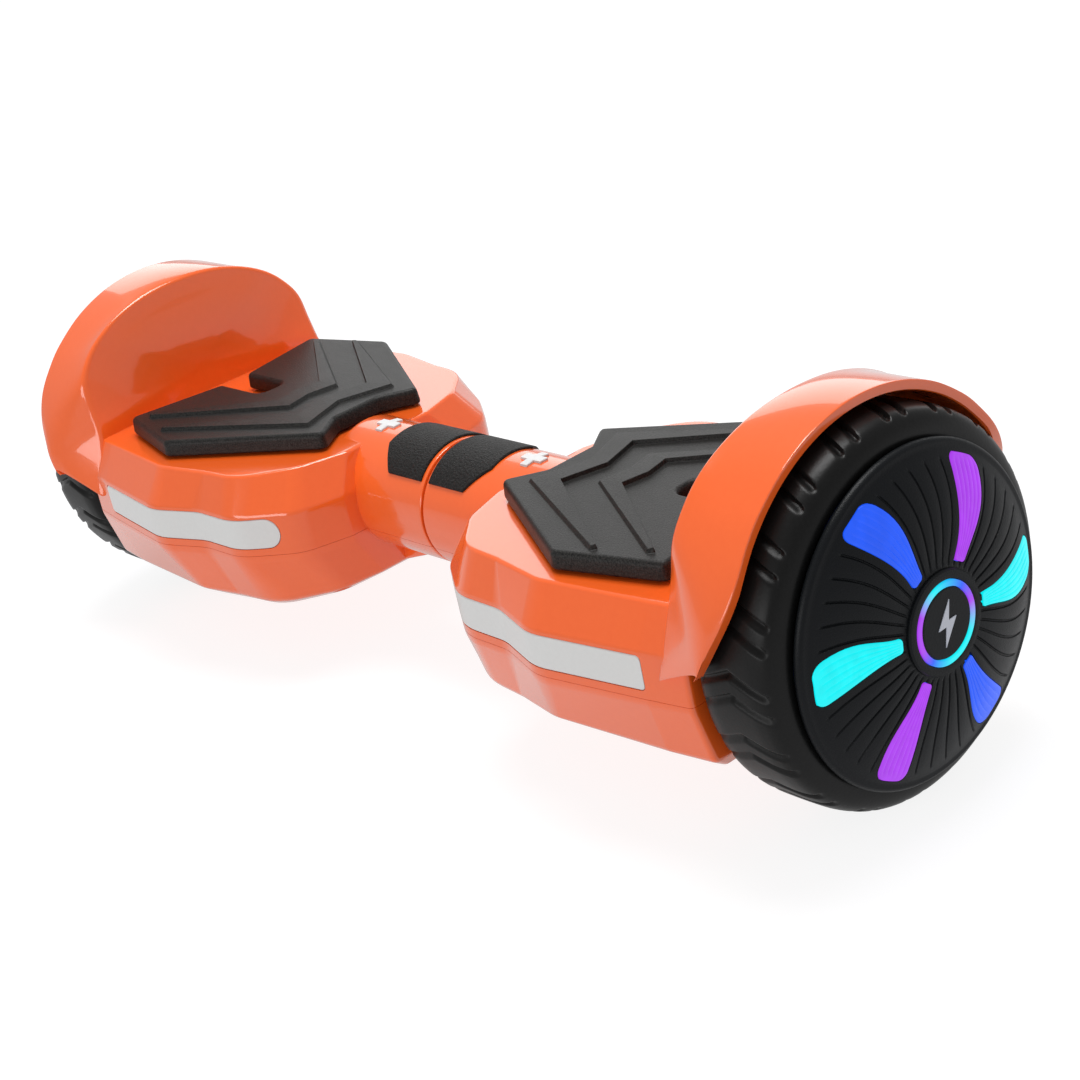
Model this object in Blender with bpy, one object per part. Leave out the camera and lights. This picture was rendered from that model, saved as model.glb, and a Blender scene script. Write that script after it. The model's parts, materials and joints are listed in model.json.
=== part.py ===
"""Self balancing hoverboard: two half bodies on a shared pivot, with a hub motor wheel at each end.

X runs along the board, Y is the riding direction and Z is up. The floor is at Z = 0 and the
wheels turn about the line Y = 0, Z = AXLE_Z. All sizes below are in millimetres.
"""

import math

import bpy
import bmesh

MM = 0.001
GAP = 0.3  # between pieces that touch

# Wheels
AXLE_Z = 82.5
TYRE_R = 82.5
TYRE_BEAD_R = 61.3
TYRE_INNER_X = 229.5
TYRE_OUTER_X = 272.5
RIM_R = 61.0
RIM_PLATE_X = 264.0
AXLE_R = 8.0
HUB_RIM_R = 71.0
HUB_NOSE_R = 22.0
HUB_NOSE_X = 287.4
HUB_DROP = 11.4
BLADES = 6
BLADE_FIRST_DEG = 118.0

# Neck and pivot
NECK_Z = 80.5
NECK_R = 31.3
SEAM = 0.6  # half of the gap between the two half bodies
PIVOT_R = 15.0
PIVOT_BORE_R = 9.0
GRIP_DEG = 51.0
PLUS_X = 55.0

# Shells
WALL = 3.0
BOTTOM_Z = 33.0
DECK_Z = 107.5
SPLIT_Z = 68.0
WELL_X = 226.5
WELL_R = 86.5
FENDER_R = 91.0
FENDER_X = 260.0

# Plan of one half body, from the neck to the wheel, as (x, y) at each height.
LEVELS = (
    (33.0, ((70, 14), (72, 38), (90, 64), (112, 67), (136, 71), (200, 67), (222, 65))),
    (40.0, ((57, 22), (60, 46), (80, 73), (110, 76), (137, 81), (202, 77), (226, 74))),
    (66.0, ((52, 38), (60, 63), (88, 82), (117, 82.5), (146, 92), (204, 84), (226, 80.5))),
    (89.0, ((52, 38), (60, 63), (88, 82), (117, 82.5), (146, 92), (204, 84), (226, 80.5))),
    (107.5, ((58, 26), (67, 51), (88, 73), (113, 75.5), (145, 81), (205, 74), (226, 71))),
)
CORNER_R = (4, 6, 9, 14, 14, 8, 3)
CORNER_STEPS = 2

# Front half of the fender's inner crease, from its foot to the top, as (x, y, z).
FENDER_CREASE = (
    (206, 84, 89), (215, 74.5, 107.5), (218.5, 73, 122), (221.5, 72, 137), (223, 65, 148.5),
    (223.5, 54, 158), (224, 39, 165), (224, 21, 169.5), (224, 0, 171),
)
FENDER_EDGE_DEG = (85, 77, 68, 59, 50, 41, 28, 14, 0)

# Headlight strip
LIGHT_LOW_Z = 72.0
LIGHT_HIGH_Z = 87.5
LIGHT_DEPTH = 1.7
LIGHT_INSET = 0.2

# Foot mat
MAT_LOW_Z = 109.0
MAT_HIGH_Z = 117.3
MAT_TRAVEL = 1.2
MAT_CORNERS = ((80, 13.5), (67.5, 31), (148.5, 74), (203, 61))
MAT_NOTCH = ((191.5, 7.5), (155, 7.5))
# Each ridge is a band between a line on the neck side and a line on the wheel side.
MAT_RIDGES = (
    (((163, 65), (83.5, 27.6), (94, 0)), ((165.5, 62.2), (100, 22.2), (107.2, 0))),
    (((187.5, 56.4), (116, 15.6), (119.5, 0)), ((191, 53.8), (130, 13.4), (133, 0))),
)
MAT_RIDGE_RISE = 2.1
MAT_STEM_X = (110, 143)

# Chassis and what it carries
PLATE_LOW_Z = 51.0
PLATE_HIGH_Z = 61.0
BOARD_Z = 98.0
SCREW_SPOTS = ((94, 40), (94, -40), (202, 0))
BOSS_X = 176.0
BOSS_Z = 54.0
BOSS_Y = 88.0

COLOURS = {
    "orange_shell": ((0.90, 0.13, 0.015), 0.0, 0.16),
    "black_mat": ((0.022, 0.022, 0.023), 0.0, 0.62),
    "black_grip": ((0.018, 0.018, 0.019), 0.0, 0.75),
    "white_inlay": ((0.80, 0.80, 0.81), 0.0, 0.35),
    "light_lens": ((0.74, 0.75, 0.77), 0.0, 0.22),
    "tyre_rubber": ((0.014, 0.014, 0.015), 0.0, 0.55),
    "hub_black": ((0.020, 0.022, 0.026), 0.0, 0.38),
    "lit_blade": ((0.05, 0.62, 0.95), 0.0, 0.30),
    "aluminium": ((0.62, 0.63, 0.65), 1.0, 0.38),
    "steel": ((0.42, 0.42, 0.44), 1.0, 0.32),
    "magnet_steel": ((0.20, 0.20, 0.22), 1.0, 0.45),
    "copper_winding": ((0.55, 0.22, 0.08), 0.8, 0.40),
    "board_green": ((0.02, 0.16, 0.06), 0.0, 0.45),
    "pack_blue": ((0.03, 0.10, 0.36), 0.0, 0.40),
    "black_plastic": ((0.025, 0.025, 0.027), 0.0, 0.45),
    "bush_grey": ((0.32, 0.33, 0.34), 0.0, 0.50),
}

for old in list(bpy.data.objects):
    bpy.data.objects.remove(old, do_unlink=True)


def make_material(name):
    colour, metallic, roughness = COLOURS[name]
    material = bpy.data.materials.new(name)
    material.use_nodes = True
    shader = material.node_tree.nodes["Principled BSDF"]
    shader.inputs["Base Color"].default_value = (*colour, 1.0)
    shader.inputs["Metallic"].default_value = metallic
    shader.inputs["Roughness"].default_value = roughness
    return material


MATERIALS = {name: make_material(name) for name in COLOURS}


# ---------------------------------------------------------------- bodies

def make_body(name, place):
    """An empty on the body's joint axis, which the body's pieces hang from."""
    empty = bpy.data.objects.new(name, None)
    empty.location = [value * MM for value in place]
    bpy.context.scene.collection.objects.link(empty)
    return empty


BODIES = {
    "right_half": make_body("right_half", (0, 0, NECK_Z)),
    "left_half": make_body("left_half", (0, 0, NECK_Z)),
    "right_wheel": make_body("right_wheel", (250, 0, AXLE_Z)),
    "left_wheel": make_body("left_wheel", (-250, 0, AXLE_Z)),
    "right_mat": make_body("right_mat", (140, 0, MAT_LOW_Z)),
    "left_mat": make_body("left_mat", (-140, 0, MAT_LOW_Z)),
    "power_push": make_body("power_push", (BOSS_X, BOSS_Y, BOSS_Z)),
    "charge_lid": make_body("charge_lid", (-BOSS_X, BOSS_Y + 1.5, BOSS_Z + 11.5)),
}


# ---------------------------------------------------------------- mesh helpers

def finish_mesh(name, points, faces):
    """A closed mesh in metres with its faces pointing outward."""
    mesh = bpy.data.meshes.new(name)
    mesh.from_pydata([[value * MM for value in point] for point in points], [], faces)
    work = bmesh.new()
    work.from_mesh(mesh)
    bmesh.ops.remove_doubles(work, verts=work.verts, dist=1e-7)
    bmesh.ops.recalc_face_normals(work, faces=work.faces)
    work.to_mesh(mesh)
    work.free()
    return mesh


def add_part(name, shape, material, body, smooth=None):
    """One named piece, with its origin on its body's joint axis."""
    home = BODIES[body].location
    mesh = finish_mesh(name, *shape)
    for vertex in mesh.vertices:
        vertex.co -= home
    mesh.materials.append(MATERIALS[material])
    if smooth:
        mesh.shade_smooth()
        mesh.set_sharp_from_angle(angle=math.radians(smooth))
    part = bpy.data.objects.new(name, mesh)
    bpy.context.scene.collection.objects.link(part)
    part.parent = BODIES[body]
    return part


def helper(name, shape):
    """A cutter or a joining shape, left out of the finished model."""
    tool = bpy.data.objects.new(name, finish_mesh(name, *shape))
    tool.hide_render = True
    tool.display_type = "WIRE"
    bpy.context.scene.collection.objects.link(tool)
    return tool


def boolean(part, kind, tool_shape, solver):
    tool = helper(f"{part.name}_tool{len(part.modifiers)}", tool_shape)
    step = part.modifiers.new(tool.name, "BOOLEAN")
    step.operation = kind
    step.object = tool
    step.solver = solver


def cut(part, shape, solver="EXACT"):
    boolean(part, "DIFFERENCE", shape, solver)


def join(part, shape, solver="EXACT"):
    boolean(part, "UNION", shape, solver)


def merged(*shapes):
    """Several closed shapes as one list of points and faces."""
    points = []
    faces = []
    for shape_points, shape_faces in shapes:
        start = len(points)
        points.extend(shape_points)
        faces.extend([[start + index for index in face] for face in shape_faces])
    return points, faces


def side_of(shape, side):
    """The shape as drawn for +X, or its reflection for -X."""
    points, faces = shape
    return [(side * x, y, z) for x, y, z in points], faces


def loft(rings):
    """Rings with the same number of points, joined by quads and closed by their end faces."""
    count = len(rings[0])
    points = [point for ring in rings for point in ring]
    faces = [list(range(count)), list(range(len(points) - count, len(points)))]
    for level in range(len(rings) - 1):
        for index in range(count):
            low = level * count
            after = (index + 1) % count
            faces.append([low + index, low + after, low + count + after, low + count + index])
    return points, faces


def box(x0, x1, y0, y1, z0, z1):
    plan = ((x0, y0), (x1, y0), (x1, y1), (x0, y1))
    return loft([[(x, y, z) for x, y in plan] for z in (z0, z1)])


def prism_y(outline, y0, y1):
    """An outline of (x, z) drawn out along Y."""
    return loft([[(x, y, z) for x, z in outline] for y in (y0, y1)])


def turn(profile, centre_z, steps, centre_y=0.0):
    """A profile of (x, radius) turned about the line along X at centre_y, centre_z.

    A profile that starts and ends at radius 0 makes a solid, and any other makes a ring.
    """
    solid = profile[0][1] == 0 and profile[-1][1] == 0
    inner = profile[1:-1] if solid else profile
    points = []
    for x, radius in inner:
        for step in range(steps):
            angle = 2 * math.pi * step / steps
            points.append((x, centre_y + radius * math.sin(angle), centre_z + radius * math.cos(angle)))
    faces = []
    count = len(inner)
    for row in range(count if not solid else count - 1):
        for step in range(steps):
            after = (step + 1) % steps
            up = (row + 1) % count
            faces.append([row * steps + step, row * steps + after, up * steps + after, up * steps + step])
    if solid:
        for row, pole in ((0, profile[0]), (count - 1, profile[-1])):
            points.append((pole[0], centre_y, centre_z))
            for step in range(steps):
                after = (step + 1) % steps
                faces.append([row * steps + step, row * steps + after, len(points) - 1])
    return points, faces


def rod_x(x0, x1, radius, centre_z, steps, centre_y=0.0):
    return turn(((x0, 0), (x0, radius), (x1, radius), (x1, 0)), centre_z, steps, centre_y)


def turn_z(profile, x, y, steps):
    """A profile of (z, radius) turned about an upright line."""
    points, faces = turn(profile, 0.0, steps)
    return [(x + px, y + py, pz) for pz, py, px in points], faces


def turn_y(profile, x, z, steps):
    """A profile of (y, radius) turned about a line along Y."""
    points, faces = turn(profile, 0.0, steps)
    return [(x + px, py, z + pz) for py, px, pz in points], faces


def rod_z(x, y, z0, z1, radius, steps):
    return turn_z(((z0, 0), (z0, radius), (z1, radius), (z1, 0)), x, y, steps)


def rod_y(x, z, y0, y1, radius, steps):
    return turn_y(((y0, 0), (y0, radius), (y1, radius), (y1, 0)), x, z, steps)


def fillet(corners, radii, steps):
    """A closed plan with each corner replaced by an arc of steps + 1 points."""
    result = []
    count = len(corners)
    for index, (x, y) in enumerate(corners):
        before = corners[index - 1]
        after = corners[(index + 1) % count]
        ax, ay = before[0] - x, before[1] - y
        bx, by = after[0] - x, after[1] - y
        la, lb = math.hypot(ax, ay), math.hypot(bx, by)
        ax, ay, bx, by = ax / la, ay / la, bx / lb, by / lb
        half = math.acos(max(-1.0, min(1.0, ax * bx + ay * by))) / 2
        reach = min(radii[index] / math.tan(half), 0.45 * la, 0.45 * lb)
        for step in range(steps + 1):
            t = step / steps
            first = reach * (1 - t) ** 2
            last = reach * t * t
            result.append((x + first * ax + last * bx, y + first * ay + last * by))
    return result


def inset(plan, distance):
    """The plan moved inwards by a distance. The plan runs anticlockwise."""
    result = []
    count = len(plan)
    for index, (x, y) in enumerate(plan):
        before = plan[index - 1]
        after = plan[(index + 1) % count]
        n1 = (before[1] - y, x - before[0])
        n2 = (y - after[1], after[0] - x)
        l1, l2 = math.hypot(*n1), math.hypot(*n2)
        n1, n2 = (n1[0] / l1, n1[1] / l1), (n2[0] / l2, n2[1] / l2)
        share = distance / max(0.3, 1 + n1[0] * n2[0] + n1[1] * n2[1])
        result.append((x + share * (n1[0] + n2[0]), y + share * (n1[1] + n2[1])))
    return result


# ---------------------------------------------------------------- shells

def body_plan(corners, steps=CORNER_STEPS):
    """Anticlockwise plan of one half body, front side first."""
    front = [(x, -y) for x, y in corners]
    rear = [(x, y) for x, y in reversed(corners)]
    return fillet(front + rear, CORNER_R + CORNER_R[::-1], steps)


def hollow_body():
    """The space inside the shells, one wall in from the outer form."""
    rings = []
    for height, corners in LEVELS:
        level = max(BOTTOM_Z + WALL, min(DECK_Z - WALL, height))
        rings.append([(x, y, level) for x, y in inset(body_plan(corners), WALL)])
    return loft(rings)


def rounded_body():
    """The outer form with a small roll over the deck edge and the bottom edge."""
    rings = []
    for height, corners in LEVELS:
        plan = body_plan(corners)
        if height == BOTTOM_Z:
            rings.append([(x, y, height) for x, y in inset(plan, 1.5)])
            rings.append([(x, y, height + 0.8) for x, y in plan])
        elif height == DECK_Z:
            rings.append([(x, y, height - 1.2) for x, y in inset(plan, -0.4)])
            rings.append([(x, y, height) for x, y in inset(plan, 1.4)])
        else:
            rings.append([(x, y, height) for x, y in plan])
    return loft(rings)


def fender_solid():
    """A solid arch from the inner crease to the outer edge. The wheel well is cut from it."""
    crease = []
    middle = []
    edge = []
    for (x, y, z), degrees in zip(FENDER_CREASE, FENDER_EDGE_DEG):
        angle = math.radians(degrees)
        narrow = 18.0 * (max(0, degrees - 60) / 25) ** 1.5
        reach = 0.25 * math.hypot(y, z - AXLE_Z) + 0.75 * FENDER_R
        crease.append((x, -y, z))
        middle.append((234.0, -reach * math.sin(angle), AXLE_Z + reach * math.cos(angle)))
        edge.append((FENDER_X - narrow, -FENDER_R * math.sin(angle), AXLE_Z + FENDER_R * math.cos(angle)))
    for line in (crease, middle, edge):
        line.extend([(x, -y, z) for x, y, z in reversed(line[:-1])])
    count = len(crease)
    points = crease + middle + edge + [(219.5, 0, 122), (FENDER_X - 6, 0, AXLE_Z + 12)]
    faces = []
    for index in range(count):
        after = (index + 1) % count
        for row in (0, count):
            faces.append([row + index, row + after, row + count + after, row + count + index])
        faces.append([index, after, 3 * count])
        faces.append([2 * count + index, 2 * count + after, 3 * count + 1])
    return points, faces


def wheel_well():
    """Room for the tyre, which follows its shoulder on the body's side."""
    shoulder = ((WELL_X, 0), (WELL_X, 79), (231, 81.5), (237, 84.8), (243, WELL_R))
    profile = (*shoulder, (300, WELL_R), (300, 0))
    return turn(profile, AXLE_Z, 56)


def neck_web():
    """The web under the neck, which runs down to the lower shell."""
    outline = ((22, 56), (22, 51.5), (64, 37.5), (64, 56))
    return prism_y(outline, -8, 8)


def shell_blank(name, side, body):
    shell = add_part(name, side_of(rounded_body(), side), "orange_shell", body, smooth=28)
    join(shell, side_of(rod_x(SEAM, 74, NECK_R, NECK_Z, 40), side))
    return shell


def make_shells(label, side, body):
    """The upper and the lower shell of one half body, still without their inner fittings."""
    upper = shell_blank(f"{label}_upper_shell", side, body)
    join(upper, side_of(fender_solid(), side))
    lower = shell_blank(f"{label}_lower_shell", side, body)
    join(lower, side_of(neck_web(), side))
    boss = rod_y(BOSS_X, BOSS_Z, 62, BOSS_Y, 13, 20)
    join(lower, side_of(boss, side))
    for shell in (upper, lower):
        cut(shell, side_of(hollow_body(), side))
        cut(shell, side_of(rod_x(SEAM - 4, 70, NECK_R - WALL, NECK_Z, 40), side))
    # The exact solver leaves gaps in these thin curved walls, so their cuts use the other one.
    solver = "MANIFOLD"
    cut(upper, side_of(wheel_well(), side), solver)
    cut(upper, side_of(box(-20, 280, -120, 120, 0, SPLIT_Z + 0.2), side), solver)
    cut(upper, side_of(box(214, 240, -10, 10, 60, AXLE_Z), side), solver)
    cut(upper, side_of(rod_x(214, 240, 10, AXLE_Z, 24), side), solver)
    for x in MAT_STEM_X:
        cut(upper, side_of(rod_z(x, 0, 100, 112, 5.0, 16), side), solver)
    for front in (-1, 1):
        recess = light_strip(front, LIGHT_DEPTH + GAP, -3.0, 0.3)
        cut(upper, side_of(recess, side), solver)
    cut(lower, side_of(box(-20, 280, -120, 120, SPLIT_Z - 0.2, 200), side), solver)
    return upper, lower


def fit_lower_shell(lower, side, port_r):
    """Screw posts inside the lower shell, their holes, and the hole through the boss."""
    hole = (
        (BOTTOM_Z - 2, 0), (BOTTOM_Z - 2, 4.6), (BOTTOM_Z + 6, 4.6), (BOTTOM_Z + 6, 2.7),
        (PLATE_LOW_Z + 2, 2.7), (PLATE_LOW_Z + 2, 0),
    )
    for x, y in SCREW_SPOTS:
        post = rod_z(x, y, BOTTOM_Z + 1, PLATE_LOW_Z - GAP, 7, 12)
        join(lower, side_of(post, side), "MANIFOLD")
    for x, y in SCREW_SPOTS:
        cut(lower, side_of(turn_z(hole, x, y, 12), side), "MANIFOLD")
    cut(lower, side_of(rod_y(BOSS_X, BOSS_Z, 50, BOSS_Y + 4, port_r, 20), side), "MANIFOLD")


# ---------------------------------------------------------------- headlights

def light_stations():
    """Points along the headlight, with the outward direction and the strip's half height."""
    run = [(204, 84), (146, 92), (117, 82.5), (88, 82), (67, 67.8)]
    radii = (0, 14, 14, 9, 0)
    points = [run[0]]
    for index in range(1, len(run) - 1):
        piece = fillet([run[index - 1], run[index], run[index + 1]], [0.01, radii[index], 0.01], 2)
        points.extend(piece[3:6])
    points.extend([(70.5, 70.2), (68, 68.4)])
    return points


def light_strip(front, depth, out, margin):
    """The strip along the body's band: depth is measured inwards and out is its outer face."""
    points = light_stations()
    if margin:
        points[0] = (204 + margin, 84 - 0.14 * margin)
        points[-1] = (68 - margin, 68.4 - 0.7 * margin)
    half = (LIGHT_HIGH_Z - LIGHT_LOW_Z) / 2 + margin
    middle = (LIGHT_HIGH_Z + LIGHT_LOW_Z) / 2
    rings = []
    for index, (x, y) in enumerate(points):
        before = points[max(0, index - 1)]
        after = points[min(len(points) - 1, index + 1)]
        dx, dy = after[0] - before[0], after[1] - before[1]
        length = math.hypot(dx, dy)
        nx, ny = -dy / length, dx / length
        if ny > 0:
            nx, ny = -nx, -ny
        high = half * (0.55 if index == len(points) - 1 else 1.0)
        outer = (x + nx * out, y + ny * out)
        inner = (x + nx * depth, y + ny * depth)
        rings.append([
            (outer[0], front * outer[1], middle - high),
            (inner[0], front * inner[1], middle - high),
            (inner[0], front * inner[1], middle + high),
            (outer[0], front * outer[1], middle + high),
        ])
    return loft(rings)


# ---------------------------------------------------------------- foot mats

def mat_plan():
    """Anticlockwise plan of the foot mat, with a slot in the edge beside the wheel."""
    front = [(x, -y) for x, y in reversed(MAT_CORNERS)]
    rear = list(MAT_CORNERS)
    slot = list(MAT_NOTCH) + [(x, -y) for x, y in reversed(MAT_NOTCH)]
    radii = [5, 7, 4, 4, 4, 4, 7, 5] + [4, 6, 6, 4]
    return list(reversed(fillet(front + rear + slot, radii, 2)))


def mirrored(line):
    """A zigzag line from the front of the mat to its middle, continued to the rear."""
    return [(x, -y) for x, y in line] + list(reversed(line[:-1]))


def mat_ridge(neck_line, wheel_line):
    """A raised chevron across the mat, bevelled towards the neck and steep towards the wheel."""
    rings = []
    for (x, y), (u, v) in zip(mirrored(neck_line), mirrored(wheel_line)):
        width = math.hypot(u - x, v - y)
        lean, drop = 1.5 / width, 0.5 / width
        rings.append([
            (x, y, MAT_HIGH_Z - 1),
            (x, y, MAT_HIGH_Z + 0.1),
            (x + lean * (u - x), y + lean * (v - y), MAT_HIGH_Z + MAT_RIDGE_RISE - 0.4),
            (u - drop * (u - x), v - drop * (v - y), MAT_HIGH_Z + MAT_RIDGE_RISE),
            (u, v, MAT_HIGH_Z + 0.1),
            (u, v, MAT_HIGH_Z - 1),
        ])
    return loft(rings)


def make_mat(label, side):
    plan = mat_plan()
    rings = [
        [(x, y, MAT_LOW_Z) for x, y in inset(plan, 0.4)],
        [(x, y, MAT_LOW_Z + 0.6) for x, y in plan],
        [(x, y, MAT_HIGH_Z - 1.6) for x, y in inset(plan, 0.4)],
        [(x, y, MAT_HIGH_Z) for x, y in inset(plan, 2.0)],
    ]
    mat = add_part(f"{label}_foot_mat", side_of(loft(rings), side), "black_mat", f"{label}_mat")
    for x in MAT_STEM_X:
        stem = rod_z(x, 0, BOARD_Z + 2 + MAT_TRAVEL + GAP, MAT_LOW_Z + 2, 4.0, 14)
        join(mat, side_of(stem, side))
    for neck_line, wheel_line in MAT_RIDGES:
        join(mat, side_of(mat_ridge(neck_line, wheel_line), side))
    return mat


# ---------------------------------------------------------------- neck trim

def make_grip(label, side, body):
    """The textured patch that wraps over the top of the neck, with its far corners cut off."""
    inner = NECK_R + 0.3
    outer = NECK_R + 1.2
    steps = 16
    rings = []
    for step in range(steps + 1):
        degrees = GRIP_DEG * (2 * step / steps - 1)
        reach = 39 - max(0, abs(degrees) - 24) * 11 / 27
        angle = math.radians(degrees)
        ring = []
        for x, radius in ((3, inner), (reach, inner), (reach, outer), (3, outer)):
            ring.append((x, radius * math.sin(angle), NECK_Z + radius * math.cos(angle)))
        rings.append(ring)
    return add_part(f"{label}_neck_grip", side_of(loft(rings), side), "black_grip", body, smooth=30)


def make_plus(label, side, body):
    """A plain plus sign set on the top of the neck."""
    arm = 7.0
    half = 2.4
    plan = ((arm, -half), (arm, half), (half, half), (half, arm), (-half, arm), (-half, half),
            (-arm, half), (-arm, -half), (-half, -half), (-half, -arm), (half, -arm), (half, -half))
    rings = []
    for rise in (0.45, 1.1):
        ring = []
        for x, y in plan:
            radius = NECK_R + rise
            ring.append((PLUS_X + x, y, NECK_Z + math.sqrt(radius * radius - y * y)))
        rings.append(ring)
    return add_part(f"{label}_plus_inlay", side_of(loft(rings), side), "white_inlay", body)


# ---------------------------------------------------------------- wheels

def dome_x(radius):
    """How far out the hub cover's face is at a radius."""
    return HUB_NOSE_X - HUB_DROP * (max(0.0, radius - HUB_NOSE_R) / (HUB_RIM_R - HUB_NOSE_R)) ** 2.2


def blade_angle(radius):
    """The turn of a blade's centre line at a radius, in degrees."""
    share = (radius - 24) / 42
    return -1.5 - 2.5 * math.sin(math.pi * min(1.0, share)) + 3.5 * share ** 2


def blade_half_width(radius):
    share = max(0.0, (radius - 24) / 42)
    return 3.1 + 6.0 * math.sin(math.pi / 2 * min(1.0, share * 1.15)) ** 1.9


def blade(index, margin, low, high):
    """One blade of the light guide, or its window when margin is above 0."""
    rings = []
    steps = 5
    for step in range(steps + 1):
        radius = 24.5 + 41 * step / steps
        if step == 0:
            radius -= margin
        if step == steps:
            radius += margin
        width = blade_half_width(radius) * (0.72 if step == steps else 1.0) + margin
        centre = math.radians(BLADE_FIRST_DEG - 360 / BLADES * index + blade_angle(radius))
        ring = []
        for sign, lift in ((-1, low), (1, low), (1, high), (-1, high)):
            angle = centre + sign * width / radius
            ring.append((dome_x(radius) + lift, radius * math.cos(angle), AXLE_Z + radius * math.sin(angle)))
        rings.append(ring)
    return loft(rings)


def make_wheel(label, side):
    body = f"{label}_wheel"
    middle = (TYRE_INNER_X + TYRE_OUTER_X) / 2
    tread = ((middle + 10, 82.3), (middle, TYRE_R), (middle - 10, 82.3))
    tyre = (
        (232.0, TYRE_BEAD_R), (270.0, TYRE_BEAD_R), (272.3, 66), (TYRE_OUTER_X, 72), (270.7, 77.5),
        (266.5, 81.0), *tread, (235.5, 81.0), (231.3, 77.5), (TYRE_INNER_X, 72), (229.7, 66),
    )
    add_part(f"{label}_tyre", side_of(turn(tyre, AXLE_Z, 36), side), "tyre_rubber", body, smooth=40)
    rim = (
        (233.0, 53.0), (233.0, RIM_R), (RIM_PLATE_X, RIM_R), (RIM_PLATE_X, 6.5), (258.0, 6.5),
        (258.0, 14), (260.0, 15), (260.0, 53.0),
    )
    add_part(f"{label}_wheel_rim", side_of(turn(rim, AXLE_Z, 24), side), "aluminium", body, smooth=40)
    cover = ((230.3, AXLE_R + 0.4), (230.3, 56), (232.7, 60.5), (232.7, AXLE_R + 0.4))
    add_part(f"{label}_motor_cover", side_of(turn(cover, AXLE_Z, 24), side), "aluminium", body, smooth=40)
    magnets = ((236, 50.6), (236, 52.6), (256, 52.6), (256, 50.6))
    ring = side_of(turn(magnets, AXLE_Z, 24), side)
    add_part(f"{label}_magnet_ring", ring, "magnet_steel", body, smooth=40)
    add_hub_cover(label, side, body)


def add_hub_cover(label, side, body):
    """The domed cover, the light guide whose blades fill its windows, and the badge with its ring."""
    foot = RIM_PLATE_X + GAP
    lip = [(foot, 56), (foot, 59.5), (273.2, 60.5), (273.2, 69.8), (274.6, HUB_RIM_R), (276.6, 70.2)]
    face = [(dome_x(radius), radius) for radius in (63, 52, 38, HUB_NOSE_R)]
    back = [(dome_x(radius) - 2.4, radius) for radius in (HUB_NOSE_R, 38, 55)]
    hub = side_of(turn(lip + face + back + [(277.5, 56)], AXLE_Z, 36), side)
    hub_cover = add_part(f"{label}_hub_cover", hub, "hub_black", body, smooth=35)
    windows = merged(*[blade(index, 0.35, -6.0, 3.0) for index in range(BLADES)])
    cut(hub_cover, side_of(windows, side))

    layer = [(dome_x(radius) - 3.2, radius) for radius in (24, 40, 54.5)]
    layer += [(dome_x(radius) - 4.6, radius) for radius in (54.5, 40, 24)]
    guide = add_part(f"{label}_light_guide", side_of(turn(layer, AXLE_Z, 28), side), "lit_blade", body)
    blades = merged(*[blade(index, 0.0, -3.9, 0.25) for index in range(BLADES)])
    join(guide, side_of(blades, side))

    badge = (
        (284.2, 0), (284.2, 14), (285.4, 21.7), (289.0, 21.7), (289.4, 18), (287.8, 17.8),
        (287.8, 14.4), (289.4, 14.2), (289.4, 0),
    )
    disc = side_of(turn(badge, AXLE_Z, 28), side)
    add_part(f"{label}_hub_badge", disc, "hub_black", body, smooth=35)
    ring = ((288.1, 14.9), (288.1, 17.3), (289.5, 17.3), (289.5, 14.9))
    circle = side_of(turn(ring, AXLE_Z, 28), side)
    add_part(f"{label}_hub_light_ring", circle, "lit_blade", body, smooth=35)


def make_motor(label, side, body):
    """The axle and the wound stator, which stay still while the wheel turns round them."""
    axle = ((190, 0), (190, AXLE_R), (256.5, AXLE_R), (256.5, 6.0), (262.5, 6.0), (262.5, 0))
    add_part(f"{label}_motor_axle", side_of(turn(axle, AXLE_Z, 20), side), "steel", body, smooth=40)
    teeth = 12
    plan = []
    for index in range(teeth):
        for turn_share, radius in ((-0.36, 49.5), (0.36, 49.5), (0.14, 44.0), (0.14, 26.0)):
            angle = 2 * math.pi * (index + turn_share) / teeth
            plan.append((radius * math.cos(angle), radius * math.sin(angle)))
        angle = 2 * math.pi * (index + 0.86) / teeth
        plan.append((26.0 * math.cos(angle), 26.0 * math.sin(angle)))
        plan.append((44.0 * math.cos(angle), 44.0 * math.sin(angle)))
    rings = [[(x, y, AXLE_Z + z) for y, z in plan] for x in (238, 254)]
    stator = add_part(f"{label}_stator", side_of(loft(rings), side), "copper_winding", body)
    cut(stator, side_of(rod_x(234, 258, AXLE_R + GAP, AXLE_Z, 20), side))


# ---------------------------------------------------------------- chassis

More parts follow.
